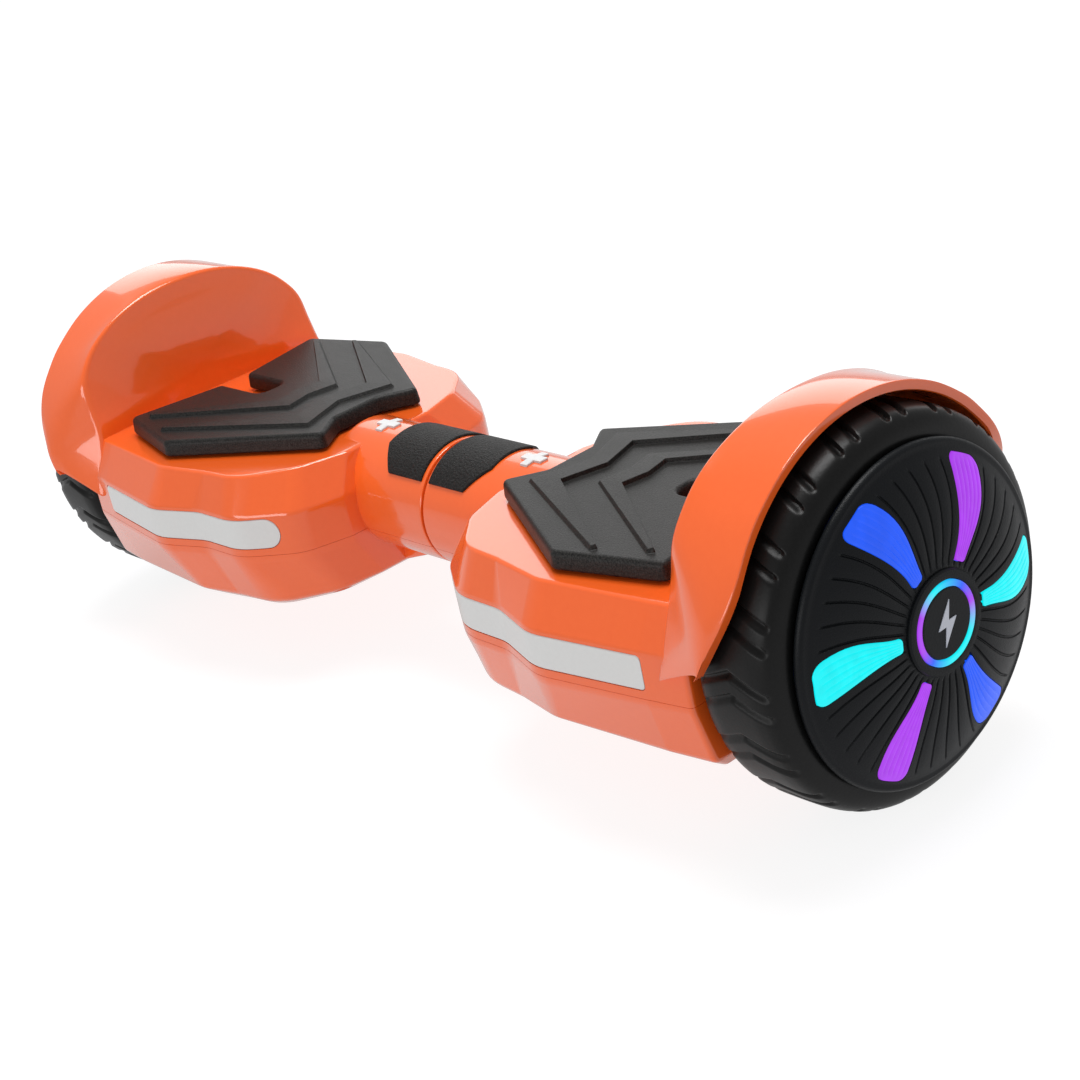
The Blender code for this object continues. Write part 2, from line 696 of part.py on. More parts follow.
def make_chassis(label, side, body):
    """The cast frame of one half, the clamp that holds the axle on it, and the screws."""
    # The frame's faces meet on shared planes, which the exact solver leaves open.
    solver = "MANIFOLD"
    plate = box(84, 214, -48, 48, PLATE_LOW_Z, PLATE_HIGH_Z)
    chassis = add_part(f"{label}_chassis", side_of(plate, side), "aluminium", body)
    join(chassis, side_of(box(62, 90, -20, 20, PLATE_LOW_Z + 1, PLATE_HIGH_Z - 1), side), solver)
    join(chassis, side_of(box(190, 212, -18, 18, 58, AXLE_Z), side), solver)
    join(chassis, side_of(rod_x(24, 70, 20, NECK_Z, 24), side), solver)
    join(chassis, side_of(box(58, 68, -12, 12, 58, 70), side), solver)
    bore = PIVOT_R + GAP if side > 0 else PIVOT_R + 3.0 + 2 * GAP
    cut(chassis, side_of(rod_x(20, 76, bore, NECK_Z, 28), side), solver)
    cut(chassis, side_of(rod_x(186, 216, AXLE_R + GAP, AXLE_Z, 20), side), solver)
    for x, y in SCREW_SPOTS:
        cut(chassis, side_of(rod_z(x, y, PLATE_LOW_Z - 2, 64, 2.6, 10), side), solver)
    for y in (-13.5, 13.5):
        cut(chassis, side_of(rod_z(201, y, 66, 86, 2.3, 10), side), solver)
    block = box(190, 212, -18, 18, AXLE_Z + GAP, 95)
    clamp = add_part(f"{label}_axle_clamp", side_of(block, side), "steel", body)
    cut(clamp, side_of(rod_x(186, 216, AXLE_R + GAP, AXLE_Z, 20), side))
    for y in (-13.5, 13.5):
        cut(clamp, side_of(rod_z(201, y, 78, 98, 2.3, 10), side))
    for number, y in enumerate((-13.5, 13.5), 1):
        bolt = screw_shape(201, y, 95 + GAP, 1, 70, 2.0, 3.8, 3.0)
        add_part(f"{label}_clamp_bolt_{number}", side_of(bolt, side), "steel", body, smooth=40)
    for number, (x, y) in enumerate(SCREW_SPOTS, 1):
        bolt = screw_shape(x, y, BOTTOM_Z + 6 - GAP, -1, PLATE_HIGH_Z - 0.5, 2.3, 4.2, 2.5)
        add_part(f"{label}_shell_screw_{number}", side_of(bolt, side), "steel", body, smooth=40)


def screw_shape(x, y, seat, up, tip, shank_r, head_r, head_height):
    """A screw along Z: its head sits against seat and points up (1) or down (-1)."""
    top = seat + up * head_height
    profile = ((top, 0), (top, head_r), (seat, head_r), (seat, shank_r), (tip, shank_r), (tip, 0))
    return turn_z(profile, x, y, 10)


def make_gyro(label, side, body):
    """The sensor board under a foot mat. On the right it stands on four legs."""
    board = box(98, 162, -28, 28, BOARD_Z, BOARD_Z + 1.6)
    gyro = add_part(f"{label}_sensor_board", side_of(board, side), "board_green", body)
    if side > 0:
        for x, y in ((101, -25), (101, 25), (159, -25), (159, 25)):
            leg = box(x - 2, x + 2, y - 2, y + 2, PLATE_HIGH_Z + GAP, BOARD_Z + 0.5)
            join(gyro, side_of(leg, side))
    chip = box(122, 130, -5, 5, BOARD_Z + 1, BOARD_Z + 2.6)
    join(gyro, side_of(chip, side))


def make_electrics():
    board = box(106, 154, -44, 20, PLATE_HIGH_Z + GAP, PLATE_HIGH_Z + 3)
    mainboard = add_part("mainboard", board, "board_green", "right_half")
    join(mainboard, box(110, 118, -40, 16, PLATE_HIGH_Z + 2, PLATE_HIGH_Z + 16))
    join(mainboard, box(124, 132, -38, -30, PLATE_HIGH_Z + 2, PLATE_HIGH_Z + 14))
    join(mainboard, box(136, 150, -12, 4, PLATE_HIGH_Z + 2, PLATE_HIGH_Z + 7))
    pack = box(-180, -88, -40, 40, PLATE_HIGH_Z + GAP, BOARD_Z - GAP)
    battery = add_part("battery_pack", pack, "pack_blue", "left_half")
    edge = battery.modifiers.new("rounded_edges", "BEVEL")
    edge.width = 0.002
    edge.segments = 2


def make_pivot():
    """The hollow shaft that the halves turn on, with the left half's bush and its retaining ring."""
    shaft = ((-66, PIVOT_BORE_R), (-66, PIVOT_R), (68, PIVOT_R), (68, PIVOT_BORE_R))
    add_part("pivot_shaft", turn(shaft, NECK_Z, 28), "steel", "right_half", smooth=40)
    low, high = PIVOT_R + GAP, PIVOT_R + 3 + GAP
    bush = ((-60, low), (-60, high), (-25, high), (-25, low))
    add_part("pivot_bush", turn(bush, NECK_Z, 28), "bush_grey", "left_half", smooth=40)
    ring = ((-20.5, PIVOT_R + GAP), (-20.5, PIVOT_R + 5), (-23.5, PIVOT_R + 5), (-23.5, PIVOT_R + GAP))
    add_part("pivot_retaining_ring", turn(ring, NECK_Z, 28), "steel", "right_half", smooth=40)


# ---------------------------------------------------------------- button and charge port

def make_button():
    face = BOSS_Y + 2.2
    profile = ((70, 0), (70, 8.5), (73, 8.5), (73, 6.4), (face - 0.6, 6.4), (face, 5.6), (face, 0))
    button = turn_y(profile, BOSS_X, BOSS_Z, 20)
    add_part("power_button", button, "black_plastic", "power_push", smooth=40)


def make_charge_port():
    x = -BOSS_X
    z = BOSS_Z
    mouth = BOSS_Y - 0.4
    profile = ((66, 0), (66, 7.6), (mouth, 7.6), (mouth, 5.6), (72, 5.6), (72, 0))
    socket = turn_y(profile, x, z, 20)
    port = add_part("charge_port", socket, "black_plastic", "left_half", smooth=40)
    for dx, dz in ((0, 2.4), (2.1, -1.4), (-2.1, -1.4)):
        join(port, rod_y(x + dx, z + dz, 71, 78, 0.8, 8))
    disc = rod_y(x, z, BOSS_Y + 0.5, BOSS_Y + 2.5, 10.5, 20)
    lid = add_part("charge_port_lid", disc, "black_plastic", "charge_lid", smooth=40)
    join(lid, rod_x(x - 4, x + 4, 1.2, z + 11.5, 10, BOSS_Y + 1.5))
    join(lid, rod_y(x, z, BOSS_Y - 1.8, BOSS_Y + 1.0, 4.6, 16))


for LABEL, SIDE in (("right", 1), ("left", -1)):
    HALF = f"{LABEL}_half"
    UPPER, LOWER = make_shells(LABEL, SIDE, HALF)
    fit_lower_shell(LOWER, SIDE, 7.0 if SIDE > 0 else 8.0)
    for FRONT, PLACE in ((-1, "front"), (1, "rear")):
        STRIP = side_of(light_strip(FRONT, LIGHT_DEPTH, LIGHT_INSET, 0.0), SIDE)
        add_part(f"{LABEL}_{PLACE}_light", STRIP, "light_lens", HALF)
    make_mat(LABEL, SIDE)
    make_grip(LABEL, SIDE, HALF)
    make_plus(LABEL, SIDE, HALF)
    make_wheel(LABEL, SIDE)
    make_motor(LABEL, SIDE, HALF)
    make_chassis(LABEL, SIDE, HALF)
    make_gyro(LABEL, SIDE, HALF)
make_electrics()
make_pivot()
make_button()
make_charge_port()
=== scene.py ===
# %% [markdown]
# A self balancing hoverboard is two half bodies that turn on one shaft, with a motor wheel at
# each end. The working model is loaded first as a fixed frame. Each cell after that replaces one
# plain solid with a finished piece, or gives a solid that is already right a better material.
# Sizes are in millimetres until a mesh is made, because that is how a maker thinks of them.

# %% Load the frame
import json
import math

import bmesh
import bpy
import numpy as np
from mathutils import Matrix, Vector


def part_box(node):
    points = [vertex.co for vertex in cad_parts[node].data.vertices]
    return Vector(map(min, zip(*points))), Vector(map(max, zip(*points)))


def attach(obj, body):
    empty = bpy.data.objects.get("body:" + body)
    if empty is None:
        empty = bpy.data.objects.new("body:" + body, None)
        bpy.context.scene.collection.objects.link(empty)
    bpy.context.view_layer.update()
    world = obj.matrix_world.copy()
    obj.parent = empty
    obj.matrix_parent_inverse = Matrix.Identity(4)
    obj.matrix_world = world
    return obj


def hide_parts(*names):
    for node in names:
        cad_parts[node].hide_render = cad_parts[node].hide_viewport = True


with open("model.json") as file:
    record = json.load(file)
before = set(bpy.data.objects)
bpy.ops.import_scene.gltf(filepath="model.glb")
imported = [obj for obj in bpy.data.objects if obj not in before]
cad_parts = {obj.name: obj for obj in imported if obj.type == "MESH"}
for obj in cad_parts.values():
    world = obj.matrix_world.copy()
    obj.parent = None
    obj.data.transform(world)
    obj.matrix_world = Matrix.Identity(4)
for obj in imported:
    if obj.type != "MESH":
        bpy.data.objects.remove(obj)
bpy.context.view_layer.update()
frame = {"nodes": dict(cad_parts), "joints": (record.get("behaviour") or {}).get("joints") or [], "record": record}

MM = 0.001
SIDES = (("right", 1), ("left", -1))

# %% [markdown]
# Every later size hangs from a few that the frame already holds: where the wheels turn, how big
# the tyres are, and where the shaft between the halves lies.

# %% Driving sizes
def box_mm(node):
    """Lowest and highest corner of a solid, in millimetres."""
    low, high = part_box(node)
    return Vector(low) / MM, Vector(high) / MM


TYRE_LOW, TYRE_HIGH = box_mm("right_tyre")
TYRE_R = (TYRE_HIGH.z - TYRE_LOW.z) / 2
AXLE_Z = (TYRE_HIGH.z + TYRE_LOW.z) / 2
TREAD_X = (TYRE_HIGH.x + TYRE_LOW.x) / 2
PIVOT = next(joint for joint in frame["joints"] if joint["name"] == "centre_pivot")
NECK_Z = PIVOT["pos_m"][2] / MM
NECK_R = box_mm("right_neck_grip")[1].z - NECK_Z - 1.2
DECK_Z = 107.5
BOTTOM_Z = box_mm("right_lower_shell")[0].z
print(f"tyre radius {TYRE_R:.1f}, axle height {AXLE_Z:.1f}, neck {NECK_R:.1f} at {NECK_Z:.1f}")

# %% [markdown]
# The camera stands beyond the right wheel, a little above the board and in front of it, and is
# rolled so that the board seems to lean. A long lens keeps the far wheel from shrinking away.

# %% Camera
CAMERA_AT = (0.7917, -0.5651, 0.4738)
CAMERA_AZIMUTH = 52.83
CAMERA_ELEVATION = 23.42
CAMERA_ROLL = -12.06
CAMERA_LENS = 72.33


def camera_axes(azimuth, elevation, roll):
    """Right, up and backward directions of a camera, as the columns of its rotation."""
    turn, rise, lean = (math.radians(angle) for angle in (azimuth, elevation, roll))
    back = Vector((math.sin(turn) * math.cos(rise), -math.cos(turn) * math.cos(rise), math.sin(rise)))
    level = Vector((math.cos(turn), math.sin(turn), 0))
    upright = back.cross(level)
    right = math.cos(lean) * level + math.sin(lean) * upright
    return Matrix((right, back.cross(right), back)).transposed()


scene = bpy.context.scene
camera = bpy.data.objects.new("camera", bpy.data.cameras.new("camera"))
camera.data.lens = CAMERA_LENS
camera.data.sensor_width = 36
camera.data.clip_start = 0.02
camera.matrix_world = (
    Matrix.Translation(CAMERA_AT)
    @ camera_axes(CAMERA_AZIMUTH, CAMERA_ELEVATION, CAMERA_ROLL).to_4x4()
)
scene.collection.objects.link(camera)
scene.camera = camera
print("camera at", CAMERA_AT, "with a", CAMERA_LENS, "mm lens")

# %% [markdown]
# Glossy plastic shows what surrounds it, so the room matters as much as the paint. The sky is a
# plain white. It looks brighter to the camera than the light that it casts on the board, which
# keeps the background pale without bleaching the paint. A Light Path node tells the two apart.

# %% Sky
scene.view_settings.view_transform = "Standard"
world = bpy.data.worlds.new("studio")
world.use_nodes = True
scene.world = world
SKY_SEEN, SKY_CAST = 0.95, 0.42
PAPER_SEEN, PAPER_CAST = 0.86, 0.50


def place_node(tree, kind, **settings):
    """A new node. Settings name either a property or an input socket; a socket value is linked."""
    node = tree.nodes.new(kind)
    for label, value in settings.items():
        if hasattr(node, label):
            setattr(node, label, value)
            continue
        socket = node.inputs[label.replace("_", " ").title()]
        if isinstance(value, bpy.types.NodeSocket):
            tree.links.new(value, socket)
        else:
            socket.default_value = value
    return node


def seen_and_cast(tree, strength, seen, cast):
    """One strength where the camera looks straight at a surface, and another for all other rays."""
    straight = place_node(tree, "ShaderNodeLightPath").outputs["Is Camera Ray"]
    choice = place_node(tree, "ShaderNodeMapRange", value=straight, to_min=cast, to_max=seen)
    tree.links.new(choice.outputs["Result"], strength)


sky = world.node_tree.nodes["Background"]
sky.inputs["Color"].default_value = (1.0, 1.0, 1.0, 1)
seen_and_cast(world.node_tree, sky.inputs["Strength"], SKY_SEEN, SKY_CAST)
print("sky seen at", SKY_SEEN, "and cast at", SKY_CAST)

# %% [markdown]
# The floor is a sheet of paper that gives back a steady white, as a lit table does. Shadows on
# it stay pale, and the orange of the board hardly bleeds into it.

# %% Floor
floor_mesh = bpy.data.meshes.new("floor")
FLOOR_REACH = 90.0
corners = [(x * FLOOR_REACH, y * FLOOR_REACH, 0) for x, y in ((-1, -1), (1, -1), (1, 1), (-1, 1))]
floor_mesh.from_pydata(corners, [], [(0, 1, 2, 3)])
floor = bpy.data.objects.new("floor", floor_mesh)
scene.collection.objects.link(floor)
paper = bpy.data.materials.new("pale_paper")
paper.use_nodes = True
PAPER = {"Base Color": (0.22, 0.22, 0.225, 1), "Roughness": 0.9, "Specular IOR Level": 0.0,
         "Emission Color": (1.0, 1.0, 1.0, 1)}
surface = paper.node_tree.nodes["Principled BSDF"]
for label, value in PAPER.items():
    surface.inputs[label].default_value = value
seen_and_cast(paper.node_tree, surface.inputs["Emission Strength"], PAPER_SEEN, PAPER_CAST)
floor_mesh.materials.append(paper)
print("floor reaches", FLOOR_REACH, "m each way")

# %% [markdown]
# One wide screen behind the board draws the broad pale reflections on the mudguards. A smaller
# lamp overhead draws the thin bright lines along the edges, and a low one opens up the front.

# %% Lamps
def soft_lamp(name, place, aim, width, depth, watts):
    lamp = bpy.data.lights.new(name, "AREA")
    lamp.shape = "RECTANGLE"
    lamp.size = width
    lamp.size_y = depth
    lamp.energy = watts
    holder = bpy.data.objects.new(name, lamp)
    holder.location = place
    holder.rotation_euler = (Vector(aim) - Vector(place)).to_track_quat("-Z", "Y").to_euler()
    scene.collection.objects.link(holder)


soft_lamp("back_screen", (-1.9, 2.1, 1.15), (0, 0, 0.1), 3.6, 1.5, 20)
soft_lamp("overhead_lamp", (-0.1, 0.25, 1.7), (0, 0, 0.08), 1.1, 0.7, 21)
soft_lamp("front_lamp", (0.2, -2.3, 0.6), (0, 0, 0.1), 1.8, 0.7, 13)
print("three soft lamps")

# %% [markdown]
# Three effects appear in several materials, so each is a shader group that is built once and
# placed with its own values. A few helpers keep the node code short. All patterns read Object
# coordinates, so they stay fixed to the piece when it moves.

# %% Helpers for shader groups
def shader_group(name, inputs, outputs):
    group = bpy.data.node_groups.new(name, "ShaderNodeTree")
    for label, value in inputs:
        socket = group.interface.new_socket(label, in_out="INPUT", socket_type="NodeSocketFloat")
        socket.default_value = value
    for label in outputs:
        group.interface.new_socket(label, in_out="OUTPUT", socket_type="NodeSocketFloat")
    return group, group.nodes.new("NodeGroupInput"), group.nodes.new("NodeGroupOutput")


def stretch(tree, scale):
    """Object coordinates, stretched so that a pattern runs in one direction."""
    spot = tree.nodes.new("ShaderNodeTexCoord")
    mapping = tree.nodes.new("ShaderNodeMapping")
    mapping.inputs["Scale"].default_value = scale
    tree.links.new(spot.outputs["Object"], mapping.inputs["Vector"])
    return mapping.outputs["Vector"]


def math_node(tree, operation, *values, clamp=False):
    """The output of a Math node, with each value a number or a socket."""
    node = tree.nodes.new("ShaderNodeMath")
    node.operation = operation
    node.use_clamp = clamp
    for socket, value in zip(node.inputs, values):
        if isinstance(value, bpy.types.NodeSocket):
            tree.links.new(value, socket)
        else:
            socket.default_value = value
    return node.outputs[0]


def about_half(tree, value, middle, share):
    """A pattern's swing about its middle value, scaled by a share and set about one half."""
    swing = math_node(tree, "SUBTRACT", value, middle)
    return math_node(tree, "MULTIPLY_ADD", swing, share, 0.5, clamp=True)


def noise(tree, place, scale, detail):
    node = place_node(tree, "ShaderNodeTexNoise", vector=place, scale=scale, detail=detail)
    return node.outputs["Fac"]

# %% [markdown]
# Fine grain is the spark eroded skin of a moulding tool. Rounded cells give the pits, and a
# noise on top breaks up their order. The same noise speckles the colour.

# %% Fine grain
def build_fine_grain():
    """Pits and bumps of a textured mould, and the speckle that they catch."""
    inputs = [("Scale", 1500.0), ("Speckle", 0.5)]
    group, start, end = shader_group("fine_grain", inputs, ["Height", "Tint"])
    place, scale = stretch(group, (1, 1, 1)), start.outputs["Scale"]
    pits = place_node(group, "ShaderNodeTexVoronoi", feature="SMOOTH_F1", vector=place, scale=scale)
    fuzz = noise(group, place, scale, 2.0)
    group.links.new(math_node(group, "ADD", pits.outputs["Distance"], fuzz), end.inputs["Height"])
    group.links.new(about_half(group, fuzz, 0.5, start.outputs["Speckle"]), end.inputs["Tint"])
    return group

# %% [markdown]
# Brushed lines are what a wire brush or a lathe leaves on metal: a noise that is squeezed in two
# directions, so that it runs long in the third.

# %% Brushed lines
def build_brushed_lines():
    """Long thin scratches, which follow the direction that the coordinates are stretched in."""
    inputs = [("Scale", 60.0), ("Contrast", 1.0)]
    group, start, end = shader_group("brushed_lines", inputs, ["Height", "Tint"])
    lines = noise(group, stretch(group, (1, 18, 18)), start.outputs["Scale"], 6.0)
    group.links.new(lines, end.inputs["Height"])
    group.links.new(about_half(group, lines, 0.5, start.outputs["Contrast"]), end.inputs["Tint"])
    return group

# %% [markdown]
# Handling is the broad, faint unevenness in gloss and colour that a thing picks up from hands,
# dust and wiping. It has no bump, because it is not a shape.

# %% Handling
def build_handling():
    """Broad faint clouds, with smaller wiped streaks inside them."""
    group, start, end = shader_group("handling", [("Scale", 14.0), ("Amount", 1.0)], ["Tint"])
    clouds = noise(group, stretch(group, (1, 1, 1)), start.outputs["Scale"], 4.0)
    streaks = noise(group, stretch(group, (1, 3, 2)), 90.0, 3.0)
    mixed = math_node(group, "MULTIPLY", clouds, streaks)
    group.links.new(about_half(group, mixed, 0.25, start.outputs["Amount"]), end.inputs["Tint"])
    return group


EFFECTS = {
    "fine_grain": build_fine_grain(),
    "brushed_lines": build_brushed_lines(),
    "handling": build_handling(),
}
print("shader groups:", ", ".join(EFFECTS))

# %% [markdown]
# Most finishes differ only in their numbers: two close colours that a pattern mixes, a range of
# roughness, and a bump. One function makes them all, and each material says which effect drives
# its colour and its bump.

# %% A finish from numbers
def colour_blend(tree, driver, colours, places):
    """A colour that runs from the first to the second as the driver passes from place to place."""
    ramp = place_node(tree, "ShaderNodeValToRGB", fac=driver)
    for stop, place, colour in zip(ramp.color_ramp.elements, places, colours):
        stop.position = place
        stop.color = (*colour, 1)
    return ramp.outputs["Color"]


def finish(name, colours, roughness, effect, scale, bump, speckle=0.5, **constants):
    """A material whose colour, roughness and bump vary. colours and roughness are (low, high)."""
    material = bpy.data.materials.new(name)
    material.use_nodes = True
    tree = material.node_tree
    shader = tree.nodes["Principled BSDF"]
    for label, value in constants.items():
        shader.inputs[label.replace("_", " ")].default_value = value
    pattern = place_node(tree, "ShaderNodeGroup", node_tree=EFFECTS[effect], scale=scale)
    if "Speckle" in pattern.inputs:
        pattern.inputs["Speckle"].default_value = speckle
    colour = colour_blend(tree, pattern.outputs["Tint"], colours, (0.2, 0.8))
    tree.links.new(colour, shader.inputs["Base Color"])
    cloud = place_node(tree, "ShaderNodeGroup", node_tree=EFFECTS["handling"]).outputs["Tint"]
    low, high = roughness
    gloss = place_node(tree, "ShaderNodeMapRange", value=cloud, to_min=low, to_max=high)
    tree.links.new(gloss.outputs["Result"], shader.inputs["Roughness"])
    if bump and "Height" in pattern.outputs:
        strength, distance = bump
        relief = place_node(tree, "ShaderNodeBump", strength=strength, distance=distance)
        tree.links.new(pattern.outputs["Height"], relief.inputs["Height"])
        tree.links.new(relief.outputs["Normal"], shader.inputs["Normal"])
    return material

# %% [markdown]
# The shells are glossy orange with a clear coat. The faint ripple in the bump is the orange peel
# that any thick gloss has, and it keeps the highlights from looking like cut paper. The rubbers
# are almost black, and it is their grain that tells them apart.

# %% Outer materials
PAINT = finish(
    "orange_gloss", ((0.97, 0.130, 0.014), (1.0, 0.145, 0.018)), (0.16, 0.24), "fine_grain", 320.0,
    (0.05, 0.00006), Coat_Weight=1.0, Coat_Roughness=0.045, Coat_IOR=1.55, IOR=1.42)
MAT_RUBBER = finish(
    "mat_rubber", ((0.003, 0.003, 0.003), (0.030, 0.029, 0.027)), (0.36, 0.48), "fine_grain",
    1500.0, (0.3, 0.0003), 1.9, Specular_IOR_Level=0.22)
GRIP_RUBBER = finish(
    "grip_rubber", ((0.003, 0.003, 0.003), (0.026, 0.025, 0.024)), (0.5, 0.64), "fine_grain",
    1100.0, (0.8, 0.0006), 1.2, Specular_IOR_Level=0.2)
TYRE_RUBBER = finish(
    "tyre_rubber", ((0.004, 0.004, 0.004), (0.009, 0.009, 0.009)), (0.28, 0.40), "fine_grain",
    700.0, (0.08, 0.0003), Specular_IOR_Level=0.2)
HUB_PLASTIC = finish(
    "hub_plastic", ((0.004, 0.005, 0.006), (0.010, 0.011, 0.013)), (0.32, 0.42), "fine_grain",
    1800.0, (0.2, 0.0003), Specular_IOR_Level=0.15)
LENS = finish(
    "pale_lens", ((0.73, 0.73, 0.72), (0.78, 0.78, 0.77)), (0.20, 0.28), "fine_grain", 500.0,
    (0.05, 0.0001), IOR=1.4)
WHITE_PLASTIC = finish(
    "white_plastic", ((0.66, 0.66, 0.66), (0.76, 0.76, 0.76)), (0.30, 0.42), "fine_grain", 900.0,
    (0.1, 0.0002), IOR=1.5)
print("outer materials ready")

# %% [markdown]
# Behind the shells the pieces are plainer, but they still read as what they are: cast aluminium,
# zinc plated steel, copper wire over laminations, green circuit boards and a blue wrapped pack.

# %% Inner materials
INNER = {
    "aluminium": finish(
        "cast_aluminium", ((0.50, 0.51, 0.53), (0.66, 0.67, 0.68)), (0.34, 0.52), "fine_grain",
        600.0, (0.35, 0.0004), Metallic=1.0),
    "steel": finish(
        "plated_steel", ((0.38, 0.38, 0.40), (0.58, 0.58, 0.60)), (0.24, 0.40), "brushed_lines",
        60.0, (0.2, 0.0002), Metallic=1.0),
    "magnet_steel": finish(
        "magnet_steel", ((0.16, 0.16, 0.17), (0.26, 0.26, 0.27)), (0.35, 0.5), "brushed_lines",
        80.0, (0.2, 0.0002), Metallic=1.0),
    "copper_winding": finish(
        "copper_wire", ((0.30, 0.09, 0.03), (0.72, 0.30, 0.12)), (0.30, 0.42), "brushed_lines",
        160.0, (0.8, 0.0006), Metallic=0.8),
    "board_green": finish(
        "circuit_board", ((0.008, 0.10, 0.035), (0.03, 0.22, 0.08)), (0.36, 0.46),
        "brushed_lines", 120.0, (0.15, 0.0002)),
    "pack_blue": finish(
        "pack_wrap", ((0.018, 0.07, 0.28), (0.035, 0.12, 0.42)), (0.28, 0.42), "handling", 0.0,
        None),
    "bush_grey": finish(
        "bush_polymer", ((0.26, 0.27, 0.28), (0.38, 0.39, 0.40)), (0.42, 0.55), "fine_grain",
        700.0, (0.2, 0.0003)),
    "black_plastic": finish(
        "black_plastic", ((0.014, 0.014, 0.015), (0.034, 0.034, 0.036)), (0.38, 0.50),
        "fine_grain", 1200.0, (0.3, 0.0003)),
}
INNER_SLOTS = {entry["node"]: entry["material_slot"] for entry in frame["record"]["subparts"]}
for node_name, node in frame["nodes"].items():
    material = INNER.get(INNER_SLOTS[node_name])
    if material:
        node.data.materials.clear()
        node.data.materials.append(material)
print(sum(name in INNER for name in INNER_SLOTS.values()), "solids carried over with a new finish")

# %% [markdown]
# The next cells hold the mesh tools. A shape is a list of points and a list of faces, in
# millimetres. A loft joins rings that have the same number of points, and a lathe turns a
# profile about the wheel's axis. Both give tidy bands of four sided faces that shade well.

# %% Loft and lathe
def loft(rings, closed=True, caps=True):
    """Joins rings with the same number of points. A closed ring runs round and meets itself."""
    count = len(rings[0])
    points = [tuple(point) for ring in rings for point in ring]
    faces = []
    for row in range(len(rings) - 1):
        for step in range(count if closed else count - 1):
            after = (step + 1) % count
            low = row * count
            faces.append((low + step, low + after, low + count + after, low + count + step))
    if caps:
        faces.append(tuple(range(count)))
        faces.append(tuple(range(len(points) - count, len(points))))
    return points, faces


def lathe(profile, steps, centre_z=AXLE_Z, centre_y=0.0):
    """Turns a profile of (x, radius) about a line along X. It is solid if it starts and ends at 0."""
    solid = profile[0][1] == 0 and profile[-1][1] == 0
    turns = [2 * math.pi * step / steps for step in range(steps)]
    rings = [
        [(x, centre_y + radius * math.sin(turn), centre_z + radius * math.cos(turn)) for turn in turns]
        for x, radius in (profile[1:-1] if solid else profile)
    ]
    return loft(rings) if solid else loft(rings + [rings[0]], caps=False)

# %% [markdown]
# Rods and blocks are the simplest lofts. A shape that was turned about X can be stood upright
# or laid along Y by swapping its coordinates, which saves a second kind of lathe.

# %% Rods and blocks
def rod_x(x0, x1, radius, centre_z, steps, centre_y=0.0):
    return lathe(((x0, 0), (x0, radius), (x1, radius), (x1, 0)), steps, centre_z, centre_y)


def upright(shape, x, y):
    """Stands a shape made about the X axis at height 0 up along Z."""
    points, faces = shape
    return [(x + pz, y + py, px) for px, py, pz in points], faces


def facing_y(shape, x, z):
    """Turns a shape made about the X axis at height 0 to run along Y."""
    points, faces = shape
    return [(x + py, px, z + pz) for px, py, pz in points], faces


def rod_z(x, y, z0, z1, radius, steps):
    return upright(rod_x(z0, z1, radius, 0.0, steps), x, y)


def rod_y(x, z, y0, y1, radius, steps):
    return facing_y(rod_x(y0, y1, radius, 0.0, steps), x, z)


def block(x0, x1, y0, y1, z0, z1):
    plan = ((x0, y0), (x1, y0), (x1, y1), (x0, y1))
    return loft([[(x, y, z) for x, y in plan] for z in (z0, z1)])

# %% [markdown]
# Moulded plastic has no sharp corners. These tools put an arc in place of each corner of a plan
# or of a path, and move a whole plan inwards to make a wall or a rounded rim.

# %% Rounded outlines
def round_corner(before, corner, after, radius, steps, share=(0.45, 0.45)):
    """An arc of steps + 1 points in place of a corner."""
    before, corner, after = (np.asarray(point, float) for point in (before, corner, after))
    back, on = before - corner, after - corner
    long_back, long_on = np.linalg.norm(back), np.linalg.norm(on)
    half = math.acos(max(-1.0, min(1.0, float(back @ on) / (long_back * long_on)))) / 2
    reach = min(radius / max(math.tan(half), 1e-6), share[0] * long_back, share[1] * long_on)
    reach = max(reach, 0.1)
    t = np.linspace(0, 1, steps + 1)[:, None]
    return corner + reach * ((1 - t) ** 2 * back / long_back + t ** 2 * on / long_on)


def round_loop(corners, radii, steps):
    """A closed plan with every corner rounded."""
    before, after = [corners[-1], *corners[:-1]], [*corners[1:], corners[0]]
    arcs = zip(before, corners, after, radii)
    return np.concatenate([round_corner(*three, radius, steps) for *three, radius in arcs])


def round_path(points, radii, steps):
    """An open path with its inner corners rounded. Its end spans may be used up to their ends."""
    parts = [np.asarray(points[:1], float)]
    last = len(points) - 1
    for index in range(1, last):
        share = (0.95 if index == 1 else 0.45, 0.95 if index == last - 1 else 0.45)
        three = points[index - 1:index + 2]
        parts.append(round_corner(*three, radii[index], steps, share))
    parts.append(np.asarray(points[-1:], float))
    return np.concatenate(parts)


def inset(plan, distance):
    """An anticlockwise plan moved inwards."""
    plan = np.asarray(plan, float)
    before, after = np.roll(plan, 1, 0), np.roll(plan, -1, 0)
    first = np.stack([before[:, 1] - plan[:, 1], plan[:, 0] - before[:, 0]], 1)
    second = np.stack([plan[:, 1] - after[:, 1], after[:, 0] - plan[:, 0]], 1)
    first /= np.linalg.norm(first, axis=1, keepdims=True)
    second /= np.linalg.norm(second, axis=1, keepdims=True)
    scale = distance / np.maximum(0.3, 1 + (first * second).sum(1))
    return plan + scale[:, None] * (first + second)

# %% [markdown]
# A shape becomes a mesh in one place, where points that meet are merged and the faces are turned
# outwards. Some pieces are then carved: shapes are cut from them or joined to them in order, as
# a toolmaker would work a block.

